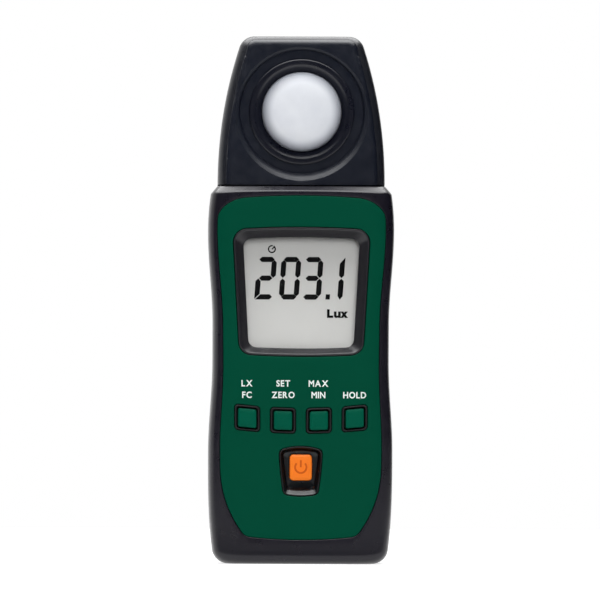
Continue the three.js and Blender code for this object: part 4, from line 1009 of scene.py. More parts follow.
# %% Make the rear case
CASE_ROLL, CASE_WALL, LEDGE_GAP, CROWN_RISE = 0.04, 1.9, 0.3, 1.06
foot_line = COVER_FOOT + CASE_ROLL
ways = WAY[WAY < SHOULDER_WAY - 0.05]
back_side = HALF_ROUND - parting_at(ways, PARTING + SEAM / 2) - CASE_ROLL
cover_hole = head_outline(HEAD_FRAME - CASE_ROLL, foot_line)
right = cover_hole[(cover_hole[:, 0] > 1e-6) & (cover_hole[:, 1] > foot_line + 1e-6)]
opening, opening_way = on_front(right[:, 0], right[:, 1])
corner_s, _ = on_front(float(head_half(foot_line)) - HEAD_FRAME + CASE_ROLL, foot_line)
_, top_w = on_front(0.0, TOP - HEAD_FRAME + CASE_ROLL + CROWN_RISE)
ledge_way = SHOULDER_WAY + LEDGE_GAP + CASE_ROLL
ledge_s = HALF_ROUND - parting_at(np.array([ledge_way]), PARTING + SEAM / 2)[0] - CASE_ROLL
ledge = [(s, ledge_way) for s in np.linspace(ledge_s, HALF_ROUND - corner_s, 20)]
front_up = WAY[WAY > top_w + 0.1]
right_edge = [(s, w) for s, w in zip(back_side, ways)] + ledge
right_edge += [(HALF_ROUND - s, w) for s, w in zip(opening, opening_way)]
right_edge += [(HALF_ROUND, float(top_w))] + [(HALF_ROUND, w) for w in front_up]
crown = COLUMNS[np.abs(COLUMNS) < HALF_ROUND - 0.2]
sole = COLUMNS[np.abs(COLUMNS) < back_side[0] - 0.2]
outer = right_edge + [(s, TOP_WAY) for s in crown[::-1]]
outer += [(-s, w) for s, w in right_edge[::-1]] + [(s, 0.0) for s in sole]
back_holes = [door_outline(DOOR_GAP + CASE_ROLL)]
back_holes += [circle(SCREW_WELL + CASE_ROLL, x, z) for x, z in CASE_SCREWS + HEAD_SCREWS]
flat, faces = patch(outer, [on_wall(hole, on_back) for hole in back_holes], COLUMNS, WAY[1:-1])
points, faces = laid(flat, faces, housing_from_back)
sole_ring = np.r_[-back_side[0], sole, back_side[0]]
faces = flat_end(points, faces, housing_from_back(sole_ring, np.zeros(len(sole_ring))), up=False)
crown_ring = np.r_[-HALF_ROUND, crown]
crown_points = housing_from_back(crown_ring, np.full(len(crown_ring), TOP_WAY))
faces = flat_end(points, faces, crown_points, up=True)
rear_shell = moulding(points, faces, CASE_WALL, rolled(CASE_ROLL))
print("Rear shell:", len(rear_shell[0]), "points")

# %% [markdown]
# On the inside of the rear case stand a post with a seat for each screw, the tray that holds the
# cells, the land that the door rests on, and a tongue that closes the parting line to light. They
# are plain turned and lofted solids that sink a little into the wall, just as ribs do in a mould.
# The tray matters only when the battery door is open, and then it is the first thing one sees.

# %% Tray, posts and screw block
TUB_HALF, TUB_FOOT, TUB_TOP, TUB_FLOOR = 11.3, 6.6, 56.5, -1.3
TUB_MIDDLE, TUB_HALF_HEIGHT = (TUB_FOOT + TUB_TOP) / 2, (TUB_TOP - TUB_FOOT) / 2
TUB_BRIM, TUB_FOOT_BRIM, LAND_FOOT = 9.4, 7.0, 7.5
TONGUE_SIDES, TONGUE_ENDS = (-1.25, -1.7), (0.9, 2.9)  # inside the case's side, and along Y


def even(outline, centre, count=96):
    """Resamples an outline at even angles round a centre, so that unlike outlines can be lofted."""
    outline = np.asarray(outline, float)
    after = np.roll(outline, -1, axis=0)
    t = np.linspace(0, 1, 40, endpoint=False)[:, None, None]
    dense = (outline + (after - outline) * t).reshape(-1, 2)
    angle = np.arctan2(dense[:, 1] - centre[1], dense[:, 0] - centre[0])
    order = np.argsort(angle)
    angle, dense = angle[order], dense[order]
    wanted = np.linspace(-math.pi, math.pi, count, endpoint=False)
    near = np.clip(np.searchsorted(angle, wanted), 1, len(angle) - 1)
    near -= (wanted - angle[near - 1]) < (angle[near] - wanted)
    return dense[near]


def facing(points, faces, towards):
    """Turns the faces of a flat patch to look along Y in this sense."""
    a, b, c = (points[i] for i in faces[0])
    if np.cross(b - a, c - a)[1] * towards < 0:
        return [face[::-1] for face in faces]
    return faces


FLAT_SPACING = 3.0


def flat_patch(outer, holes, y, towards):
    outer = np.asarray(outer, float)
    low, high = outer.min(axis=0), outer.max(axis=0)
    columns, rows = (np.arange(low[i] + FLAT_SPACING / 2, high[i], FLAT_SPACING) for i in range(2))
    flat, faces = patch(outer, holes, columns, rows)
    points = at_depth(flat, y)
    return points, facing(points, faces, towards)


def tray():
    outer = oblong(TUB_HALF + 1, TUB_HALF_HEIGHT + 1, 0.8, 0, TUB_MIDDLE, 4, 12)
    inner = oblong(TUB_HALF, TUB_HALF_HEIGHT, 0.6, 0, TUB_MIDDLE, 4, 12)

    def brim(outline):
        return np.where(outline[:, 1] < TUB_FOOT + 0.9, TUB_FOOT_BRIM, TUB_BRIM)

    rings = [
        at_depth(outer, TUB_FLOOR - 1),
        at_depth(outer, brim(outer)),
        at_depth(inner, brim(inner)),
        at_depth(inner, TUB_FLOOR),
    ]
    return loft(rings)


def ledge():
    """The land that the door rests on, open at the foot where the tabs reach in."""
    arch = door_outline(SEAM + 0.6)
    arch = arch[arch[:, 1] > LAND_FOOT]
    right, left = arch[arch[:, 0] > 0], arch[arch[:, 0] < 0]
    right = right[np.argsort(right[:, 1] - 0.01 * right[:, 0])]
    left = left[np.argsort(-left[:, 1] - 0.01 * left[:, 0])]
    inner = [(-TUB_HALF, LAND_FOOT), (-TUB_HALF, TUB_TOP), (TUB_HALF, TUB_TOP), (TUB_HALF, LAND_FOOT)]
    outline = np.concatenate([right, left, inner])
    flat, faces = flat_patch(outline, [circle(3.5, *DOOR_SCREW)], 9.5, 1)
    return moulding(flat, faces, 0.9, BARE_EDGE)


def screw_block():
    block = even(oblong(5, 3.3, 0.3, 0, 59.8), DOOR_SCREW)
    bore = even(circle(1.2, *DOOR_SCREW), DOOR_SCREW)
    rings = [at_depth(block, 5.3), at_depth(block, 8.6), at_depth(bore, 8.6), at_depth(bore, 5.8)]
    return loft(rings)


def post(x, z, outer, seat, foot):
    profile = [(1.25, seat), (outer, seat), (outer, foot), (1.25, foot)]
    return loft(turned(profile, x, z, 36), closed=True)


def tongue():
    """The strip on the case's rim that stands inside the jacket and closes the parting line to light."""
    side = housing(parting_at(ways, PARTING), ways)[:, [0, 2]]
    rim = mirrored([(0, side[0, 1]), *side, (0, side[-1, 1])])
    count, low = len(rim), rim[:, 1] < side[-1, 1] - 2
    outer, inner = (moved_out(rim, by) for by in TONGUE_SIDES)
    first = np.argmax(rim[:, 1]) + 1
    front, back = TONGUE_ENDS
    rings = []
    for i in (i % count for i in range(first, first + count)):
        if low[i]:
            ring = [(*outer[i], front), (*outer[i], back), (*inner[i], back), (*inner[i], front)]
            rings.append(np.array(ring)[:, [0, 2, 1]])
    return loft(rings)


posts = [post(x, z, 2.8, 9.4, 2.2) for x, z in CASE_SCREWS]
posts += [post(x, z, 2.6, 7.9, 2.0) for x, z in HEAD_SCREWS]
inside_parts = [tray(), ledge(), screw_block(), tongue(), *posts]
show("rear_case_shell", joined(rear_shell, *inside_parts), black, "case_black", "rear_case")

# %% [markdown]
# ## Head cover
#
# The cover is a plate that leans back with the head. Its edge is chamfered, and the wide round
# recess for the sensor cuts so close to that edge that at the sides it takes a bite out of the
# chamfer. So the plate is drawn as a height over the plane: first how deep each point lies, from
# its distance to the edge, and then the mouth of the recess is found where the cone meets it.

# %% Shape of the plate
FLOOR, FLOOR_RADIUS, FLARE = -4.8, 15.64, 0.57
COVER_EDGE, COVER_ROLL = HEAD_FRAME + 0.03, 0.02
long_edge = head_outline(COVER_EDGE, COVER_FOOT - 6)
COVER_WALL = 2.2
CHAMFER_PROFILE = (  # (distance from the edge, depth below the face)
    (0.0, 0.62), (0.12, 0.43), (0.28, 0.3), (0.5, 0.19), (0.8, 0.09), (1.15, 0.02), (1.4, 0.0),
)


def cover_depth(flat):
    flat = np.atleast_2d(flat)
    near = distance_to(flat, long_edge)
    away, down = zip(*CHAMFER_PROFILE)
    return head_face(flat[:, 1]) + np.interp(near, away, down)


angles = full_turn(120)
spokes = np.stack([np.cos(angles), np.sin(angles)], -1)
mouth_radius = np.full(len(angles), 16.5)
for _ in range(12):
    mouth = spokes * mouth_radius[:, None] + (0, SENSOR)
    mouth_radius = FLOOR_RADIUS + FLARE * (FLOOR - cover_depth(mouth))
print("Recess mouth radius:", round(mouth_radius.min(), 2), "to", round(mouth_radius.max(), 2), "mm")

# %% Make the head cover
MOUTH_ROLL, MOUTH_REACH = 0.14, 19
RECESS_FLOOR = (  # (radius, depth below the floor)
    (FLOOR_RADIUS, -0.1), (FLOOR_RADIUS - 0.1, 0), (14.6, 0), (12.5, 0), (12.4, 0.1), (12.4, 1.6),
    (16.74, 1.6),
)


def cover_rim(at, normal, side):
    away = np.hypot(at[:, 0], at[:, 2] - SENSOR)
    back = at.copy()
    back[:, 1] = head_face(at[:, 2]) + COVER_WALL
    if away.max() > MOUTH_REACH:
        side = side * np.where(at[:, 2:] < COVER_FOOT + 0.3, (1, 1, 0), (1, 1, 1))
        rings = [at + out * side + (0, down, 0) for out, down in rolled(COVER_ROLL)]
        last = rings[-1].copy()
        last[:, 1] = back[:, 1]
        return rings + [last]
    angle = np.arctan2(at[:, 2] - SENSOR, at[:, 0])
    full_turn, full_mouth = np.r_[angles, 2 * math.pi], np.r_[mouth_radius, mouth_radius[0]]
    edge = np.interp(angle % (2 * math.pi), full_turn, full_mouth)

    def ring(radius, y):
        return np.stack([radius * np.cos(angle), y + 0 * angle, SENSOR + radius * np.sin(angle)], -1)

    rings = [ring(edge + 0.04, at[:, 1] + 0.02), ring(edge - 0.03, at[:, 1] + 0.1)]
    width = edge - FLOOR_RADIUS
    for t in (0.5, 0.93, 1.0):
        rings.append(ring(edge - t * width, at[:, 1] + (0.95 * t + 0.06 * (t == 1.0)) * width))
    return rings + [ring(radius, FLOOR + down) for radius, down in RECESS_FLOOR]


def cover_shell():
    outline = head_outline(COVER_EDGE + COVER_ROLL, COVER_FOOT)
    hole = spokes * (mouth_radius + MOUTH_ROLL)[:, None] + (0, SENSOR)
    crease = [head_outline(COVER_EDGE + away, COVER_FOOT - 4) for away, _ in CHAMFER_PROFILE[1:]]
    crease = np.concatenate(crease)
    crease = crease[inside(crease, outline) & ~inside(crease, hole)]
    crease = crease[distance_to(crease, hole) > 0.2]
    columns, rows = np.arange(-19.25, 20, 1.5), np.arange(96.3, 133, 1.5)
    flat, faces = patch(outline, [hole], columns, rows, extra=crease)
    points = at_depth(flat, cover_depth(flat))
    inner = at_depth(flat, head_face(flat[:, 1]) + COVER_WALL)
    return moulding(points, facing(points, faces, -1), COVER_WALL, [], cover_rim, inner)


show("sensor_head_cover", cover_shell(), head_black, "case_black", "head_cover", sharp=32)

# %% [markdown]
# ## Sensor: collar and dome
#
# The white dome is an opal cap that spreads the light over the photodiode, so the meter reads the
# same for light from any side. A raised collar holds it. Both are turned parts, and a lathe needs
# only their section. The points that round an edge are what makes the thin line of light on it.

# %% Turn the collar and the dome
collar_profile = [
    (10.12, -3.2), (10.12, -4.6), (10.2, -4.7), (11.82, -5.56), (12.0, -5.6), (12.9, -5.6),
    (13.1, -5.57), (13.22, -5.47), (13.25, -5.34), (13.25, -5.1), (12.2, -5.1), (12.2, -3.2),
]
collar = loft(turned(collar_profile, 0, SENSOR, 144), closed=True)
show("dome_collar", collar, collar_black, "trim_black", "sensor_collar")


DOME_RADIUS, DOME_INSIDE, DOME_POWER = 9.97, 8.85, 2.6


def cap(radius, rise, foot, steps):
    """Points (radius, depth) of a cap with a full shoulder, from its crown to its rim."""
    power = 2 / DOME_POWER
    turn = np.linspace(0, math.pi / 2, steps)
    return [(radius * math.sin(a) ** power, foot - rise * math.cos(a) ** power) for a in turn]


dome_profile = cap(DOME_RADIUS, 4.7, FLOOR, 36)
dome_profile += [(DOME_RADIUS, -2.9), (11.55, -2.9), (11.55, -1.7), (DOME_INSIDE, -1.7)]
dome_profile += cap(DOME_INSIDE, 3.5, FLOOR, 24)[::-1]
show("opal_dome", loft(turned(dome_profile, 0, SENSOR, 144)), opal, "opal", "diffuser_dome")

# %% [markdown]
# ## Display
#
# From the front inwards the display is a black bezel with sloping walls, a clear window, and the
# liquid crystal glass. The bezel is one ring of outlines, each drawn a little smaller or deeper
# than the one before, closed on itself behind.

# %% Bezel, window and glass
def bezel_ring(grow, inset, y):
    foot = inset * BEZEL_FOOT_INSET / BEZEL_INSET
    return at_depth(display_outline(grow, inset, foot), y)


BEZEL_PROFILE = (  # (growth, inset, depth) from the outer foot over the crest and down the slope
    (-0.2, 0, -8.8), (-0.2, 0, -11.2), (-0.24, 0, -11.3), (-0.34, 0, -11.35), (-0.54, 0, -11.35),
    (-0.66, 0.0, -11.3), (-0.6, 0.2, -11.2), (-0.3, 1.45, -10.27), (0, 2.52, -9.38), (0, 2.62, -9.3),
    (0, BEZEL_INSET, -9.2), (0, BEZEL_INSET, -8.2), (1.2, 0, -8.2), (1.2, 0, -8.8),
)
bezel_rings = [bezel_ring(*line) for line in BEZEL_PROFILE]
show("display_frame", loft(bezel_rings, closed=True), trim, "trim_black", "display_bezel")


def pane(outline_at, front, back, edge):
    rings = [(-edge, front), (-0.3 * edge, front + 0.3 * edge), (0, front + edge), (0, back - edge),
             (-edge, back)]
    return loft([at_depth(outline_at(grow), y) for grow, y in rings])


def window_outline(grow):
    return display_outline(grow, 1.6, 1.0)


def glass_outline(grow):
    return oblong(15.6 + grow, 15.55 + grow, 0.3 + grow, 0, 68.25)


GLASS_FRONT, GLASS_BACK = -6.8, -5.2
show("clear_window", pane(window_outline, -7.9, -7.1, 0.08), window_clear, "clear", "display_window")
crystal = pane(glass_outline, GLASS_FRONT, GLASS_BACK, 0.1)
show("liquid_crystal", crystal, display_face, "display", "display_glass")

# %% [markdown]
# The reading is made of seven-segment digits, slanted a little as they are on such glass. Each
# segment is a bar with pointed ends; a few end in a long mitre instead, as on the first and the
# last digit. A thin gap keeps them apart. They are real thin shapes that stand a hair in front of
# the glass, so they stay sharp from near by.

# %% Segments of the digits
DIGIT_FOOT, DIGIT_HEIGHT, DIGIT_WIDTH, BAR = 66.6, 10.75, 5.05, 1.32
SLANT = math.tan(math.radians(4))
GAP, BAR_CORNER = 0.16, 0.05


def softened(outline, cut):
    """Rounds every corner of an outline by a short curve."""
    outline = np.asarray(outline, float)
    made = []
    for i, corner in enumerate(outline):
        ends = []
        for other in (outline[i - 1], outline[(i + 1) % len(outline)]):
            reach = np.linalg.norm(other - corner)
            ends.append(corner + (other - corner) * min(cut / reach, 0.45))
        made += list(bezier(ends[0], corner, ends[1], 4))
    return np.array(made)


def segment_shapes():
    w, h, t, g = DIGIT_WIDTH, DIGIT_HEIGHT, BAR, GAP
    half = t / 2
    low, high = h / 2 + 0.07, h - half - 0.12

    def level(tip, z):
        ends = (tip, z), (tip + half, z + half), (w - tip - half, z + half)
        return [*ends, (w - tip, z), (w - tip - half, z - half), (tip + half, z - half)]

    upright = [(half, high), (0, high - half), (0, low + half), (half, low), (t, low + half)]
    upright.append((t, high - half))
    slanted = [(0, high - 0.9), (0, low + half), (half, low), (t, low + half), (t, h - 0.1)]
    longer = [(half, h), (0, h - 0.95), *upright[2:5], (t, h - 0.95)]
    tip = half - g / 2

    def to_right(shape):
        return [(x + w - t, z) for x, z in shape]

    shapes = {"a": level(tip, h - half), "g": level(half + g, h / 2), "d": level(tip, half)}
    shapes |= {"f": upright, "b": to_right(upright), "1": to_right(slanted)}
    for source, lower in ((upright, "e"), (shapes["b"], "c"), (to_right(longer), "l")):
        shapes[lower] = [(x, h - z) for x, z in source]
    shapes["x"] = [(0, 0.12), (0, h - low - half), (half, h - low), (t, h - low - half), (t, t + 0.12)]
    shapes["y"] = [(g, 0), (t + g, t), (w - tip - half, t), (w - tip, half), (w - tip - half, 0)]
    return {name: softened(shape, BAR_CORNER) for name, shape in shapes.items()}


def prism(outline, front, back):
    return loft([at_depth(outline, front), at_depth(outline, back)])


def on_glass(outline):
    """A thin shape a hair in front of the glass."""
    return prism(outline, GLASS_FRONT - 0.03, GLASS_FRONT + 0.02)


def bar_ring(x, z, inner, outer, start, stop):
    """The outline of a part of a flat ring, between two angles in degrees."""
    angles = np.linspace(math.radians(start), math.radians(stop), 40)
    return arc(x, z, outer, angles) + arc(x, z, inner, angles[::-1])


segments = segment_shapes()
reading = ((-6.05, "abgxy"), (0.1, "abcdef"), (5.68, "abgcd"), (11.16, "1l"))
marks = []
for right, lit in reading:
    for name in lit:
        shape = np.array(segments[name], float)
        z = shape[:, 1] + DIGIT_FOOT
        x = right - DIGIT_WIDTH + shape[:, 0] + SLANT * (z - DIGIT_FOOT - DIGIT_HEIGHT)
        marks.append(on_glass(np.stack([x, z], -1)))
point = [(6.12, 66.65), (7.2, 66.65), (7.3, 67.96), (6.22, 67.96)]
timer = bar_ring(-7.42, 79.3, 0.68, 1.02, 75, 75 + 345)
hand = [(-7.52, 79.38), (-7.3, 79.16), (-6.6, 79.86), (-6.82, 80.08)]
marks += [on_glass(outline) for outline in (point, timer, hand)]
show("display_digits", joined(*marks), digit_ink, "trim_black")

# %% [markdown]
# Words are set with Blender's own font, made into a thin mesh, and laid on the surface below them:
# each point takes the depth of the panel at its place. The unit on the glass is drawn point by
# point, because its letters are bolder than the font's. A picture of the words would be shorter,
# but it would blur and it could not be exported as a shape.

# %% Words on the glass and the panel
def letter_outline(letter):
    """Points and edges of one letter in Blender's own font."""
    curve = bpy.data.curves.new("words", "FONT")
    curve.body = letter
    curve.resolution_u = 4
    curve.fill_mode = "NONE"
    holder = bpy.data.objects.new("words", curve)
    mesh = holder.to_mesh()
    points = np.array([tuple(v.co)[:2] for v in mesh.vertices])
    edges = [tuple(e.vertices) for e in mesh.edges]
    holder.to_mesh_clear()
    bpy.data.objects.remove(holder)
    return points, edges


CAP_HEIGHT = letter_outline("H")[0][:, 1].max()


def letter_loops(letter):
    """The closed outlines of a letter; the filled side lies to their left."""
    points, edges = letter_outline(letter)
    beside = {}
    for a, b in edges:
        beside.setdefault(a, []).append(b)
        beside.setdefault(b, []).append(a)
    loops = []
    while beside:
        rim = [min(beside)]
        while True:
            after = [v for v in beside.pop(rim[-1]) if v in beside]
            if not after:
                break
            rim.append(min(after))
        loop = points[rim]
        loops.append(loop[np.linalg.norm(loop - np.roll(loop, 1, axis=0), axis=1) > 0.006])
    areas = [np.dot(loop[:, 0], np.roll(loop[:, 1], -1) - np.roll(loop[:, 1], 1)) / 2 for loop in loops]
    return loops if sum(areas) > 0 else [loop[::-1] for loop in loops]


def filled(loops):
    """Triangles between outlines, kept where a point lies inside an odd number of them."""
    points, _, faces, sources = triangles(loops)
    faces = np.array([[sources[v][0] for v in face] for face in faces])
    middle = np.array(points)[faces].mean(axis=1)
    within = sum(inside(middle, loop).astype(int) for loop in loops)
    return [tuple(int(i) for i in face) for face in faces[within % 2 == 1]]


LETTER_WEIGHT, LETTER_WIDTH, LETTER_GAP = 0.06, 0.9, 0.22
LETTER_LIFT, LETTER_SINK = 0.02, 0.04


def words(lines, surface_depth):
    """Lines of (text, x, z, cap height), centred on x and z and laid on a surface."""
    parts = []
    for text, x, z, height in lines:
        scale = height / CAP_HEIGHT
        letters = []
        ends = []
        for letter in text:
            loops = [loop * (LETTER_WIDTH * scale, scale) for loop in letter_loops(letter)]
            loops = [moved_out(loop, LETTER_WEIGHT) for loop in loops]
            letters.append(loops)
            across = np.concatenate(loops)[:, 0]
            ends.append((across.min(), across.max()))
        width = sum(right - left for left, right in ends) + LETTER_GAP * (len(text) - 1)
        at = x - width / 2
        for loops, (left, right) in zip(letters, ends):
            loops = [loop + (at - left, z - height / 2) for loop in loops]
            at += right - left + LETTER_GAP
            flat = np.concatenate(loops)
            depth = surface_depth(flat[:, 0], flat[:, 1])
            front = filled(loops)
            count, start = len(flat), 0
            faces = front + [tuple(i + count for i in f[::-1]) for f in front]
            for loop in loops:
                for i, j in neighbours(len(loop)):
                    faces.append((start + i, start + j, start + j + count, start + i + count))
                start += len(loop)
            layers = [at_depth(flat, depth - LETTER_LIFT), at_depth(flat, depth + LETTER_SINK)]
            parts.append((np.concatenate(layers), faces))
        print(text, "is", round(width, 2), "mm wide")
    return joined(*parts)


def panel_depth(x, z):
    round_, way = on_front(x, z)
    return housing(round_, way)[:, 1]


STROKE, UNIT_FOOT, UNIT_WEIGHT = 0.54, 62.08, 0.06
letter_l = [(0, 0), (1.48, 0), (1.48, 0.48), (STROKE, 0.48), (STROKE, 2.05), (0, 2.05)]
hollow = [(0.58 - 0.58 * math.cos(a), 0.55 - 0.58 * math.sin(a)) for a in np.linspace(0, 1.9, 9)]
bowl = [(0.8 + 0.26 * math.cos(a), 0.66 - 0.24 * math.sin(a)) for a in np.linspace(0, math.pi, 9)]
leg = [(1.0, 0.18), (1.06, 0), (1.06 + STROKE, 0), (1.06 + STROKE, 1.5), (1.06, 1.5)]
letter_u = [(0, 1.5), *hollow, *leg, *bowl, (STROKE, 1.5)]
letter_x = [(0, 0), (0.62, 0), (0.87, 0.42), (1.12, 0), (1.74, 0), (1.19, 0.77), (1.7, 1.5), (1.1, 1.5),
            (0.87, 1.11), (0.64, 1.5), (0.04, 1.5), (0.55, 0.77)]
letters = []
for letter, x in ((letter_l, 6.6), (letter_u, 8.34), (letter_x, 9.98)):
    letters.append(on_glass(moved_out(np.array(letter, float) + (x, UNIT_FOOT), UNIT_WEIGHT)))
show("display_unit", joined(*letters), digit_ink, "trim_black")
UPPER_LINE, LOWER_LINE, LEGEND_SIZE = 45.5, 42.6, 1.5
legend_lines = []
for x, upper, lower in ((-13.62, "LX", "FC"), (-4.5, "SET", "ZERO"), (4.37, "MAX", "MIN")):
    legend_lines.append((upper, x, UPPER_LINE, LEGEND_SIZE))
    legend_lines.append((lower, x, LOWER_LINE, LEGEND_SIZE))
legend_lines.append(("HOLD", 13.5, LOWER_LINE, LEGEND_SIZE))
show("key_legends", words(legend_lines, panel_depth), ink, "holder_white")

# %% [markdown]
# ## Keys
#
# The four keys are hard caps that slide in rubber collars, and the collars are one sheet with the
# seal behind the panel. The orange power key stands in a sunk cup with a sloping rim. A cap is a
# loft of its own outline, moved in and forward along a quarter circle at the edge.

# %% One key cap
KEY_EDGE = 0.45


def key_cap(half, corner, top, key):
    profile = [(0.7, -6.9), (0.7, -7.7), (0.0, -7.7), (0.0, top + KEY_EDGE)]
    profile += [(-out, top + down) for down, out in rolled(KEY_EDGE)[::-1][1:]]
    profile += [(-KEY_EDGE, top), (-KEY_EDGE - 0.5, top - 0.03), (-KEY_EDGE - 1.2, top - 0.05)]
    rings = []
    for grow, y in profile:
        outline = oblong(half[0] + grow, half[1] + grow, max(corner + grow, 0.15), steps=6, side=4)
        rings.append(at_depth(at_key(outline, key), y))
    stem = [at_depth(at_key(circle(1.3, steps=24), key), y) for y in (-7.2, -6.3)]
    return joined(loft(rings), loft(stem))


for name, key in zip(KEY_NAMES, key_places):
    show(name + "_cap", key_cap(KEY_HALF, 0.5, -12.1, key), key_green, "key_green", name, body=name)
POWER_KEY = (0.0, 24.35, 0.0)
POWER_HALF = (2.73, 3.22)
power = key_cap(POWER_HALF, 0.85, -12.2, POWER_KEY)
show("power_key_cap", power, orange, "orange", "power_key", body="power_key")

# %% The mark on the power key
MARK_HEIGHT = 24.42
mark_ring = bar_ring(0, MARK_HEIGHT, 1.2, 1.66, 138, 402)
mark_bar = [(-0.22, MARK_HEIGHT), (0.22, MARK_HEIGHT), (0.22, 26.2), (-0.22, 26.2)]
mark = [prism(outline, -12.27, -12.15) for outline in (mark_ring, mark_bar)]
show("power_mark", joined(*mark), orange_dark, "orange", body="power_key")

# %% Collars on their sheet
KEY_ROOM, SHEET_ROOM = 0.42, 0.25  # round a key inside its collar, and in the sheet below
collar_parts = []
sheet_holes = []
for key in key_places:
    rings = []
    for grow, y in ((0, -8.1), (0, -11.5), (-0.05, -11.6), (-0.16, -11.65)):
        half_width, half_height = (half + grow for half in COLLAR_HALF)
        rings.append((oblong(half_width, half_height, 0.85 + grow, side=4), y))
    for grow, y in ((0.16, -11.65), (0.05, -11.6), (0, -11.5), (0, -8.1)):
        half_width, half_height = (half + KEY_ROOM + grow for half in KEY_HALF)
        rings.append((oblong(half_width, half_height, 0.6 + grow, side=4), y))
    collar_parts.append(loft([at_depth(at_key(o, key), y) for o, y in rings], closed=True))
    half_width, half_height = (half + SHEET_ROOM for half in KEY_HALF)
    sheet_holes.append(at_key(oblong(half_width, half_height, 0.7, side=4), key))
sheet_flat, sheet_faces = flat_patch(oblong(17.97, 4.9, 2, 0, 36.43, side=20), sheet_holes, -8.8, -1)
collar_parts.append(moulding(sheet_flat, sheet_faces, 0.8, BARE_EDGE))
show("key_collars", joined(*collar_parts), seal, "seal_rubber", "key_frame")

# %% Cup of the power key
WELL_CENTRE, WELL_STEPS = (0.0, 24.0), 144
WELL_RIM = (  # (growth, depth) up the outer side and over the rim
    (1.2, -8.0), (1.2, -8.8), (-0.17, -8.8), (-0.17, -11.2), (-0.21, -11.3), (-0.28, -11.34),
    (-0.36, -11.34),
)
WELL_SLOPE = (  # (inset, inset at the foot, depth) down into the cup
    (0.02, 0.02, -11.29), (0.1, 0.12, -11.22), (0.25, 0.55, -11.03), (0.33, 0.85, -10.86),
    (0.42, 1.1, -10.69), (0.52, 1.32, -10.5), (0.62, 1.5, -10.28), (0.75, 1.65, -10.06),
    (0.9, 1.8, -10.0),
)
well_lines = [(well_outline(grow), y) for grow, y in WELL_RIM]
well_lines += [(well_outline(-0.42, inset, foot_inset), y) for inset, foot_inset, y in WELL_SLOPE]
key_hole = oblong(POWER_HALF[0] + 0.2, POWER_HALF[1] + 0.2, 1.05, 0, POWER_KEY[1], side=4)
well_lines += [(key_hole, -10.0), (key_hole, -8.0)]
well_rings = [at_depth(even(line, WELL_CENTRE, WELL_STEPS), y) for line, y in well_lines]
show("power_key_cup", loft(well_rings, closed=True), cup_black, "seal_rubber", "power_well")

# %% [markdown]
# ## Battery door and screws
#
# The door is a flat plate in the back, held by two tabs at its foot and one screw at its top. The
# screws are pan heads with a cross. The cross is star shaped seen from the middle, so it can be
# lofted from round rings to the cross and then straight down.

# %% Make the battery door
DOOR_EDGE = 0.25
flat, faces = flat_patch(door_outline(-DOOR_EDGE), [circle(SCREW_WELL + DOOR_EDGE, *DOOR_SCREW)], 11.5, 1)
door_parts = [moulding(flat, faces, 1.7, rolled(DOOR_EDGE))]
land = [(1.2, 8.9), (3.2, 8.9), (3.2, 9.9), (2.3, 9.9), (2.3, 9.6), (1.2, 9.6)]
door_parts.append(loft(turned(land, *DOOR_SCREW, 48), closed=True))
for x in (-6.5, 6.5):
    for half_height, corner, z, back in ((0.925, 0.3, 5.675, 9.5), (0.425, 0.2, 6.675, 10.3)):
        tab = oblong(2, half_height, corner, x, z)
        door_parts.append(loft([at_depth(tab, y) for y in (8.5, back)]))
show("battery_door_plate", joined(*door_parts), black, "case_black", "battery_door", body="battery_door")

# %% Make the screws
SHANK, PAN_RADIUS, PAN_HEIGHT, PAN_ROUND = 1.0, 2.2, 1.3, 0.66


def rotated(across, up, turn):
    c, s = math.cos(turn), math.sin(turn)
    return c * across - s * up, s * across + c * up


def cross_outline(arm, half):
    """A cross; its corners take the nearest of the even angles."""
    corners = []
    for i in range(4):
        for corner in ((arm, -half), (arm, half), (half, half)):
            corners.append(rotated(*corner, i * math.pi / 2))
    return even(corners, (0, 0))


def screw(x, z, top, tip, turn):
    seat = top - PAN_HEIGHT
    side = PAN_RADIUS
    profile = [(SHANK / 2, tip), (SHANK, tip + 0.8), (SHANK, seat), (side, seat), (side, top - PAN_ROUND)]
    for a in np.linspace(0, math.pi / 2, 7)[1:]:
        profile.append((side - PAN_ROUND * (1 - math.cos(a)), top - PAN_ROUND * (1 - math.sin(a))))
    rings = [at_depth(even(circle(radius, steps=192), (0, 0)), y) for radius, y in profile]
    for arm, half, down in ((1.25, 0.3, 0), (1.18, 0.25, 0.1), (1.0, 0.2, 0.85)):
        rings.append(at_depth(cross_outline(arm, half), top - down))
    points, faces = loft(rings)
    across, up = rotated(points[:, 0].copy(), points[:, 2].copy(), turn)
    points[:, 0], points[:, 2] = x + across, z + up
    return points, faces


SCREW_TIP, CASE_SCREW_TOP, HEAD_SCREW_TOP = -2.46, 11.0, 9.5
screws = []
for i, place_at in enumerate(CASE_SCREWS):
    turn = 0.5 + 1.7 * i
    screws.append((f"case_screw_{i + 1}", "housing", place_at, CASE_SCREW_TOP, SCREW_TIP, turn))
for i, place_at in enumerate(HEAD_SCREWS):
    turn = 1.1 + 1.3 * i
    screws.append((f"head_screw_{i + 1}", "housing", place_at, HEAD_SCREW_TOP, SCREW_TIP, turn))
screws.append(("door_screw", "battery_door", DOOR_SCREW, 11.2, 6.8, 0.3))
for name, body, place_at, top, tip, turn in screws:
    show(name + "_pan", screw(*place_at, top, tip, turn), screw_metal, "screw_steel", name, body=body)

# %% [markdown]
# ## Cells and springs
#
# With the door open the two cells lie side by side in the tray, one up and one down, each pressed
# on its spring. A spring is a tube along a path: a ring of points is carried along the coil and
# turned with it.

# %% Make the cells
CELL_AXIS, CELL_STEPS = 4.25, 64
CELL_SIDE = 5.75
BASE_BAND, PLUS_BAND = 0.9, 43.0  # heights on the cell where the bare metal ends and begins


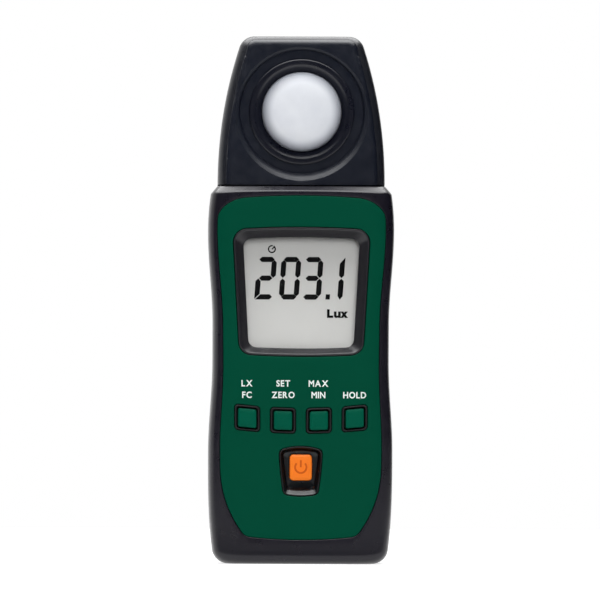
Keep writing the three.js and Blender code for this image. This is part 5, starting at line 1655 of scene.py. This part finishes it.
def cell(x, foot, flipped):
    profile = [(1e-7, 0), (4.6, 0), (4.75, 0.15), (4.95, 0.1), (5.15, 0.2), (5.25, 0.45), (5.25, 1.1),
               (5.25, 12.0), (5.25, 27.0), (5.25, 42.4), (5.25, 43.1), (5.1, 43.4), (4.8, 43.5),
               (4.4, 43.3), (1.95, 43.3), (1.9, 43.4), (1.9, 44.35), (1.75, 44.5), (1e-7, 44.5)]
    angles = full_turn(CELL_STEPS)
    rings = []
    for radius, along in profile:
        z = foot - along if flipped else foot + along
        rings.append([(*p, z) for p in arc(x, CELL_AXIS, radius, angles)])
    return loft(rings)


def add_finish(piece, finish, chosen):
    """Gives a second finish to the faces whose middle height in mm passes the test."""
    piece.data.materials.append(finish)
    for face in piece.data.polygons:
        if chosen(face.center.z * 1000):
            face.material_index = len(piece.data.materials) - 1


cells = (("cell_left", -CELL_SIDE, 11.05, False), ("cell_right", CELL_SIDE, 52.05, True))
for name, x, foot, flipped in cells:
    piece = make_piece(name + "_can", *cell(x, foot, flipped), sleeve)
    up = -1 if flipped else 1
    base, plus = foot + up * BASE_BAND, foot + up * PLUS_BAND
    add_finish(piece, plated, lambda z: (z > base or z < plus) if flipped else (z < base or z > plus))
    place(piece, "housing", "cell_sleeve", name)

# %% Make the springs
WIRE, COIL_TURNS, COIL_FOOT, COIL_TIP, COIL_LENGTH = 0.35, 3.5, 3.5, 2.1, 3.2


def spring(x, foot, up):
    t = np.linspace(0, 1, 150)
    turn = 2 * math.pi * COIL_TURNS * t
    radius = COIL_FOOT + (COIL_TIP - COIL_FOOT) * t
    height = WIRE + (COIL_LENGTH - 2 * WIRE) * t
    path = np.stack([radius * np.cos(turn), radius * np.sin(turn), height], -1)
    ahead = np.gradient(path, axis=0)
    ahead /= np.linalg.norm(ahead, axis=1, keepdims=True)
    outward = np.stack([np.cos(turn), np.sin(turn), 0 * turn], -1)
    outward -= ahead * np.sum(outward * ahead, axis=1, keepdims=True)
    outward /= np.linalg.norm(outward, axis=1, keepdims=True)
    across = np.cross(ahead, outward)
    rings = []
    phase = full_turn(12)[:, None]
    for a in range(len(path)):
        ring = path[a] + WIRE * (np.cos(phase) * outward[a] + np.sin(phase) * across[a])
        if not up:
            ring = ring * (1, -1, -1)
        rings.append(ring + (x, CELL_AXIS, foot))
    return loft(rings)


springs = (("spring_left", -CELL_SIDE, 7.55, True), ("spring_right", CELL_SIDE, 55.55, False))
for name, x, foot, up in springs:
    show(name + "_coil", spring(x, foot, up), plated, "contact_metal", name)

# %% [markdown]
# ## Inner pieces
#
# The board, switches, contacts and the parts of the sensor behind the dome stay as the CAD made
# them: they are flat or round and hardly seen. They only get their finishes.

# %% Finishes of the inner pieces
inner_finishes = (
    (resist, ("main_board", "sensor_board")),
    (chip_black, ("controller",)),
    (ribbon, ("sensor_ribbon",)),
    (filter_green, ("eye_response_filter",)),
    (can_metal, ("photodiode", "key_switch_1", "key_switch_2", "key_switch_3", "key_switch_4",
                 "power_switch")),
    (plated, ("contact_bridge", "contact_plus", "contact_minus")),
    (holder_white, ("display_holder",)),
    (connector, ("display_connector",)),
)
for finish, names in inner_finishes:
    for name in names:
        mesh = nodes[name].data
        mesh.materials.clear()
        mesh.materials.append(finish)
print("Inner pieces dressed:", sum(len(names) for _, names in inner_finishes))

# %% [markdown]
# ## Studio
#
# The meter stands on a white floor in soft light. A large lamp in front and above gives the even
# light, a weak one overhead adds a little from the top, and a panel that only shows in the gloss
# draws the bright lines along the shoulder and the recess. The background is white because the
# world is white to the camera and in reflections, so no lamp has to burn it out. Dark cards, which
# the camera doesn't see, keep that white from greying the black plastic, as in a real studio.

# %% World and floor
scene = bpy.context.scene
scene.view_settings.view_transform = "Standard"
world = bpy.data.worlds.new("studio")
scene.world = world
world.use_nodes = True
tree = world.node_tree
tree.nodes.clear()


def seen_directly(tree):
    """One for a ray of the camera, gloss or transmission, and nought for the soft light."""
    rays = add_node(tree, "ShaderNodeLightPath").outputs
    seen = rays["Is Camera Ray"]
    for kind in ("Is Glossy Ray", "Is Transmission Ray"):
        seen = add_node(tree, "ShaderNodeMath", {0: seen, 1: rays[kind]}, operation="MAXIMUM").outputs[0]
    return seen


def matt(name, grey, roughness=0.5):
    finish, tree, shader = new_finish(name)
    values = {"Base Color": (grey, grey, grey, 1), "Roughness": roughness, "Specular IOR Level": 0.0}
    fill_in(tree, shader, values)
    return finish, tree, shader


def studio_face(name, corners, finish):
    """One flat face of the studio, which is no part of the meter."""
    mesh = bpy.data.meshes.new(name)
    mesh.from_pydata(corners, [], [tuple(range(len(corners)))])
    mesh.materials.append(finish)
    face = new_object(name, mesh)
    return face


WHITE = (1, 1, 1, 1)
direction = add_node(tree, "ShaderNodeTexCoord").outputs["Generated"]
upward = add_node(tree, "ShaderNodeSeparateXYZ", {0: direction}).outputs["Z"]
sky = spread(tree, upward, 0.12, 0.6, -0.4, 0.6)
soft = add_node(tree, "ShaderNodeBackground", {"Color": WHITE, "Strength": sky}).outputs[0]
plain = add_node(tree, "ShaderNodeBackground", {"Color": WHITE, "Strength": 1.0}).outputs[0]
mix = add_node(tree, "ShaderNodeMixShader", {0: seen_directly(tree), 1: soft, 2: plain})
add_node(tree, "ShaderNodeOutputWorld", {"Surface": mix.outputs[0]})

FLOOR_REACH, FLOOR_GREY, FLOOR_GLOW = 0.45, 0.8, 0.75
rim = [(x, y, 0) for x, y in circle(FLOOR_REACH, steps=96)]
floor_finish, tree, shader = matt("floor white", FLOOR_GREY, 0.9)
glow = {0: seen_directly(tree), 1: FLOOR_GLOW}
glow = add_node(tree, "ShaderNodeMath", glow, operation="MULTIPLY").outputs[0]
fill_in(tree, shader, {"Emission Color": WHITE, "Emission Strength": glow})
floor = studio_face("floor", rim, floor_finish)
floor.location = (0, 0, -0.0001)
print("World and floor are white")


# %% [markdown]
# Each lamp is a rectangle, like the softboxes of a photographer. One lamp could do all, but then its
# mirror image in the plastic couldn't be placed apart from its light: here the front lamp is left
# out of the gloss, and the overhead panel is seen in the gloss alone.

# %% Lamps
def softbox(name, place_at, aim, size, watts):
    lamp = bpy.data.lights.new(name, "AREA")
    lamp.shape = "RECTANGLE"
    lamp.size, lamp.size_y = size
    lamp.energy = watts
    holder = new_object(name, lamp)
    holder.location = place_at
    holder.rotation_euler = (Vector(place_at) - Vector(aim)).to_track_quat("Z", "Y").to_euler()
    print(name, "at", place_at, "with", watts, "W")
    return holder


front_box = softbox("front softbox", (0.1, -1.45, 0.62), (0, 0, 0.07), (0.9, 0.9), 14.6)
front_box.visible_glossy = False
softbox("top softbox", (-0.1, -0.3, 1.0), (0, 0, 0.09), (1.0, 0.4), 3.2)
gloss_panel = softbox("overhead gloss panel", (0, 0.1, 1.25), (0, 0.1, 0), (2.0, 2.8), 88)
gloss_panel.visible_diffuse = False


# %% [markdown]
# Cards stand round the meter, and the camera doesn't see them. Black ones in front and at the sides
# keep the flat black surfaces dark, and a grey one near the foot tones down its reflections.
# Painting the plastic darker would not do that, because the grey on it is a reflection of the room.

# %% Dark cards
def card(name, corners, finish, gloss_only=False):
    """A card that keeps the white room out of the gloss on the meter."""
    made = studio_face(name, corners, finish)
    made.visible_camera = False
    if gloss_only:
        made.visible_diffuse = False
        made.visible_shadow = False


def upright(x, front, back, top):
    """The corners of a card that stands at the meter's side."""
    return [(x, front, 0.0), (x, back, 0.0), (x, back, top), (x, front, top)]


CARD_FRONT, CARD_SIDE, TABLE_SIDE, TABLE_HEIGHT = -3.4, 0.3, 0.06, 0.001
black_finish = matt("black card", 0.01)[0]
grey_finish = matt("grey card", 0.65)[0]
front_corners = [(x, CARD_FRONT, z) for x, z in ((-7, -3), (7, -3), (7, 4.5), (-7, 4.5))]
card("front card", front_corners, black_finish)
card("left card", upright(-CARD_SIDE, -0.6, -0.03, 0.3), black_finish)
table = [(-TABLE_SIDE, -0.045), (TABLE_SIDE, -0.045), (TABLE_SIDE, -0.0125), (-TABLE_SIDE, -0.0125)]
card("table card", [(x, y, TABLE_HEIGHT) for x, y in table], grey_finish, gloss_only=True)
card("right card", upright(CARD_SIDE, -0.5, 0.5, 0.5), black_finish)
print("Four cards stand round the meter")

# %% [markdown]
# The camera stands far away with a long lens, as product photographs are taken, so that the sides
# stay parallel. It looks very slightly from the side and is rolled by a quarter of a degree, which
# agrees with the photograph better than a camera set up square.

# %% Camera
PHOTO_PIXELS = 600
MM_PER_PIXEL = 0.25228
DISTANCE = 3.0
LEAN, YAW = math.radians(0.235), math.radians(1.0)
lens = bpy.data.cameras.new("long lens")
lens.sensor_width = 36
lens.lens = 36 * (DISTANCE - 0.004) / (PHOTO_PIXELS * MM_PER_PIXEL / 1000)
camera = new_object("camera", lens)
camera.location = (-0.00016 - DISTANCE * math.sin(YAW), -DISTANCE * math.cos(YAW), 0.0665)
level = Matrix.Rotation(-YAW, 3, "Z") @ Matrix.Rotation(math.pi / 2, 3, "X")
camera.rotation_euler = (level @ Matrix.Rotation(LEAN, 3, "Z")).to_euler()
scene.camera = camera
print("Lens", round(lens.lens, 1), "mm")
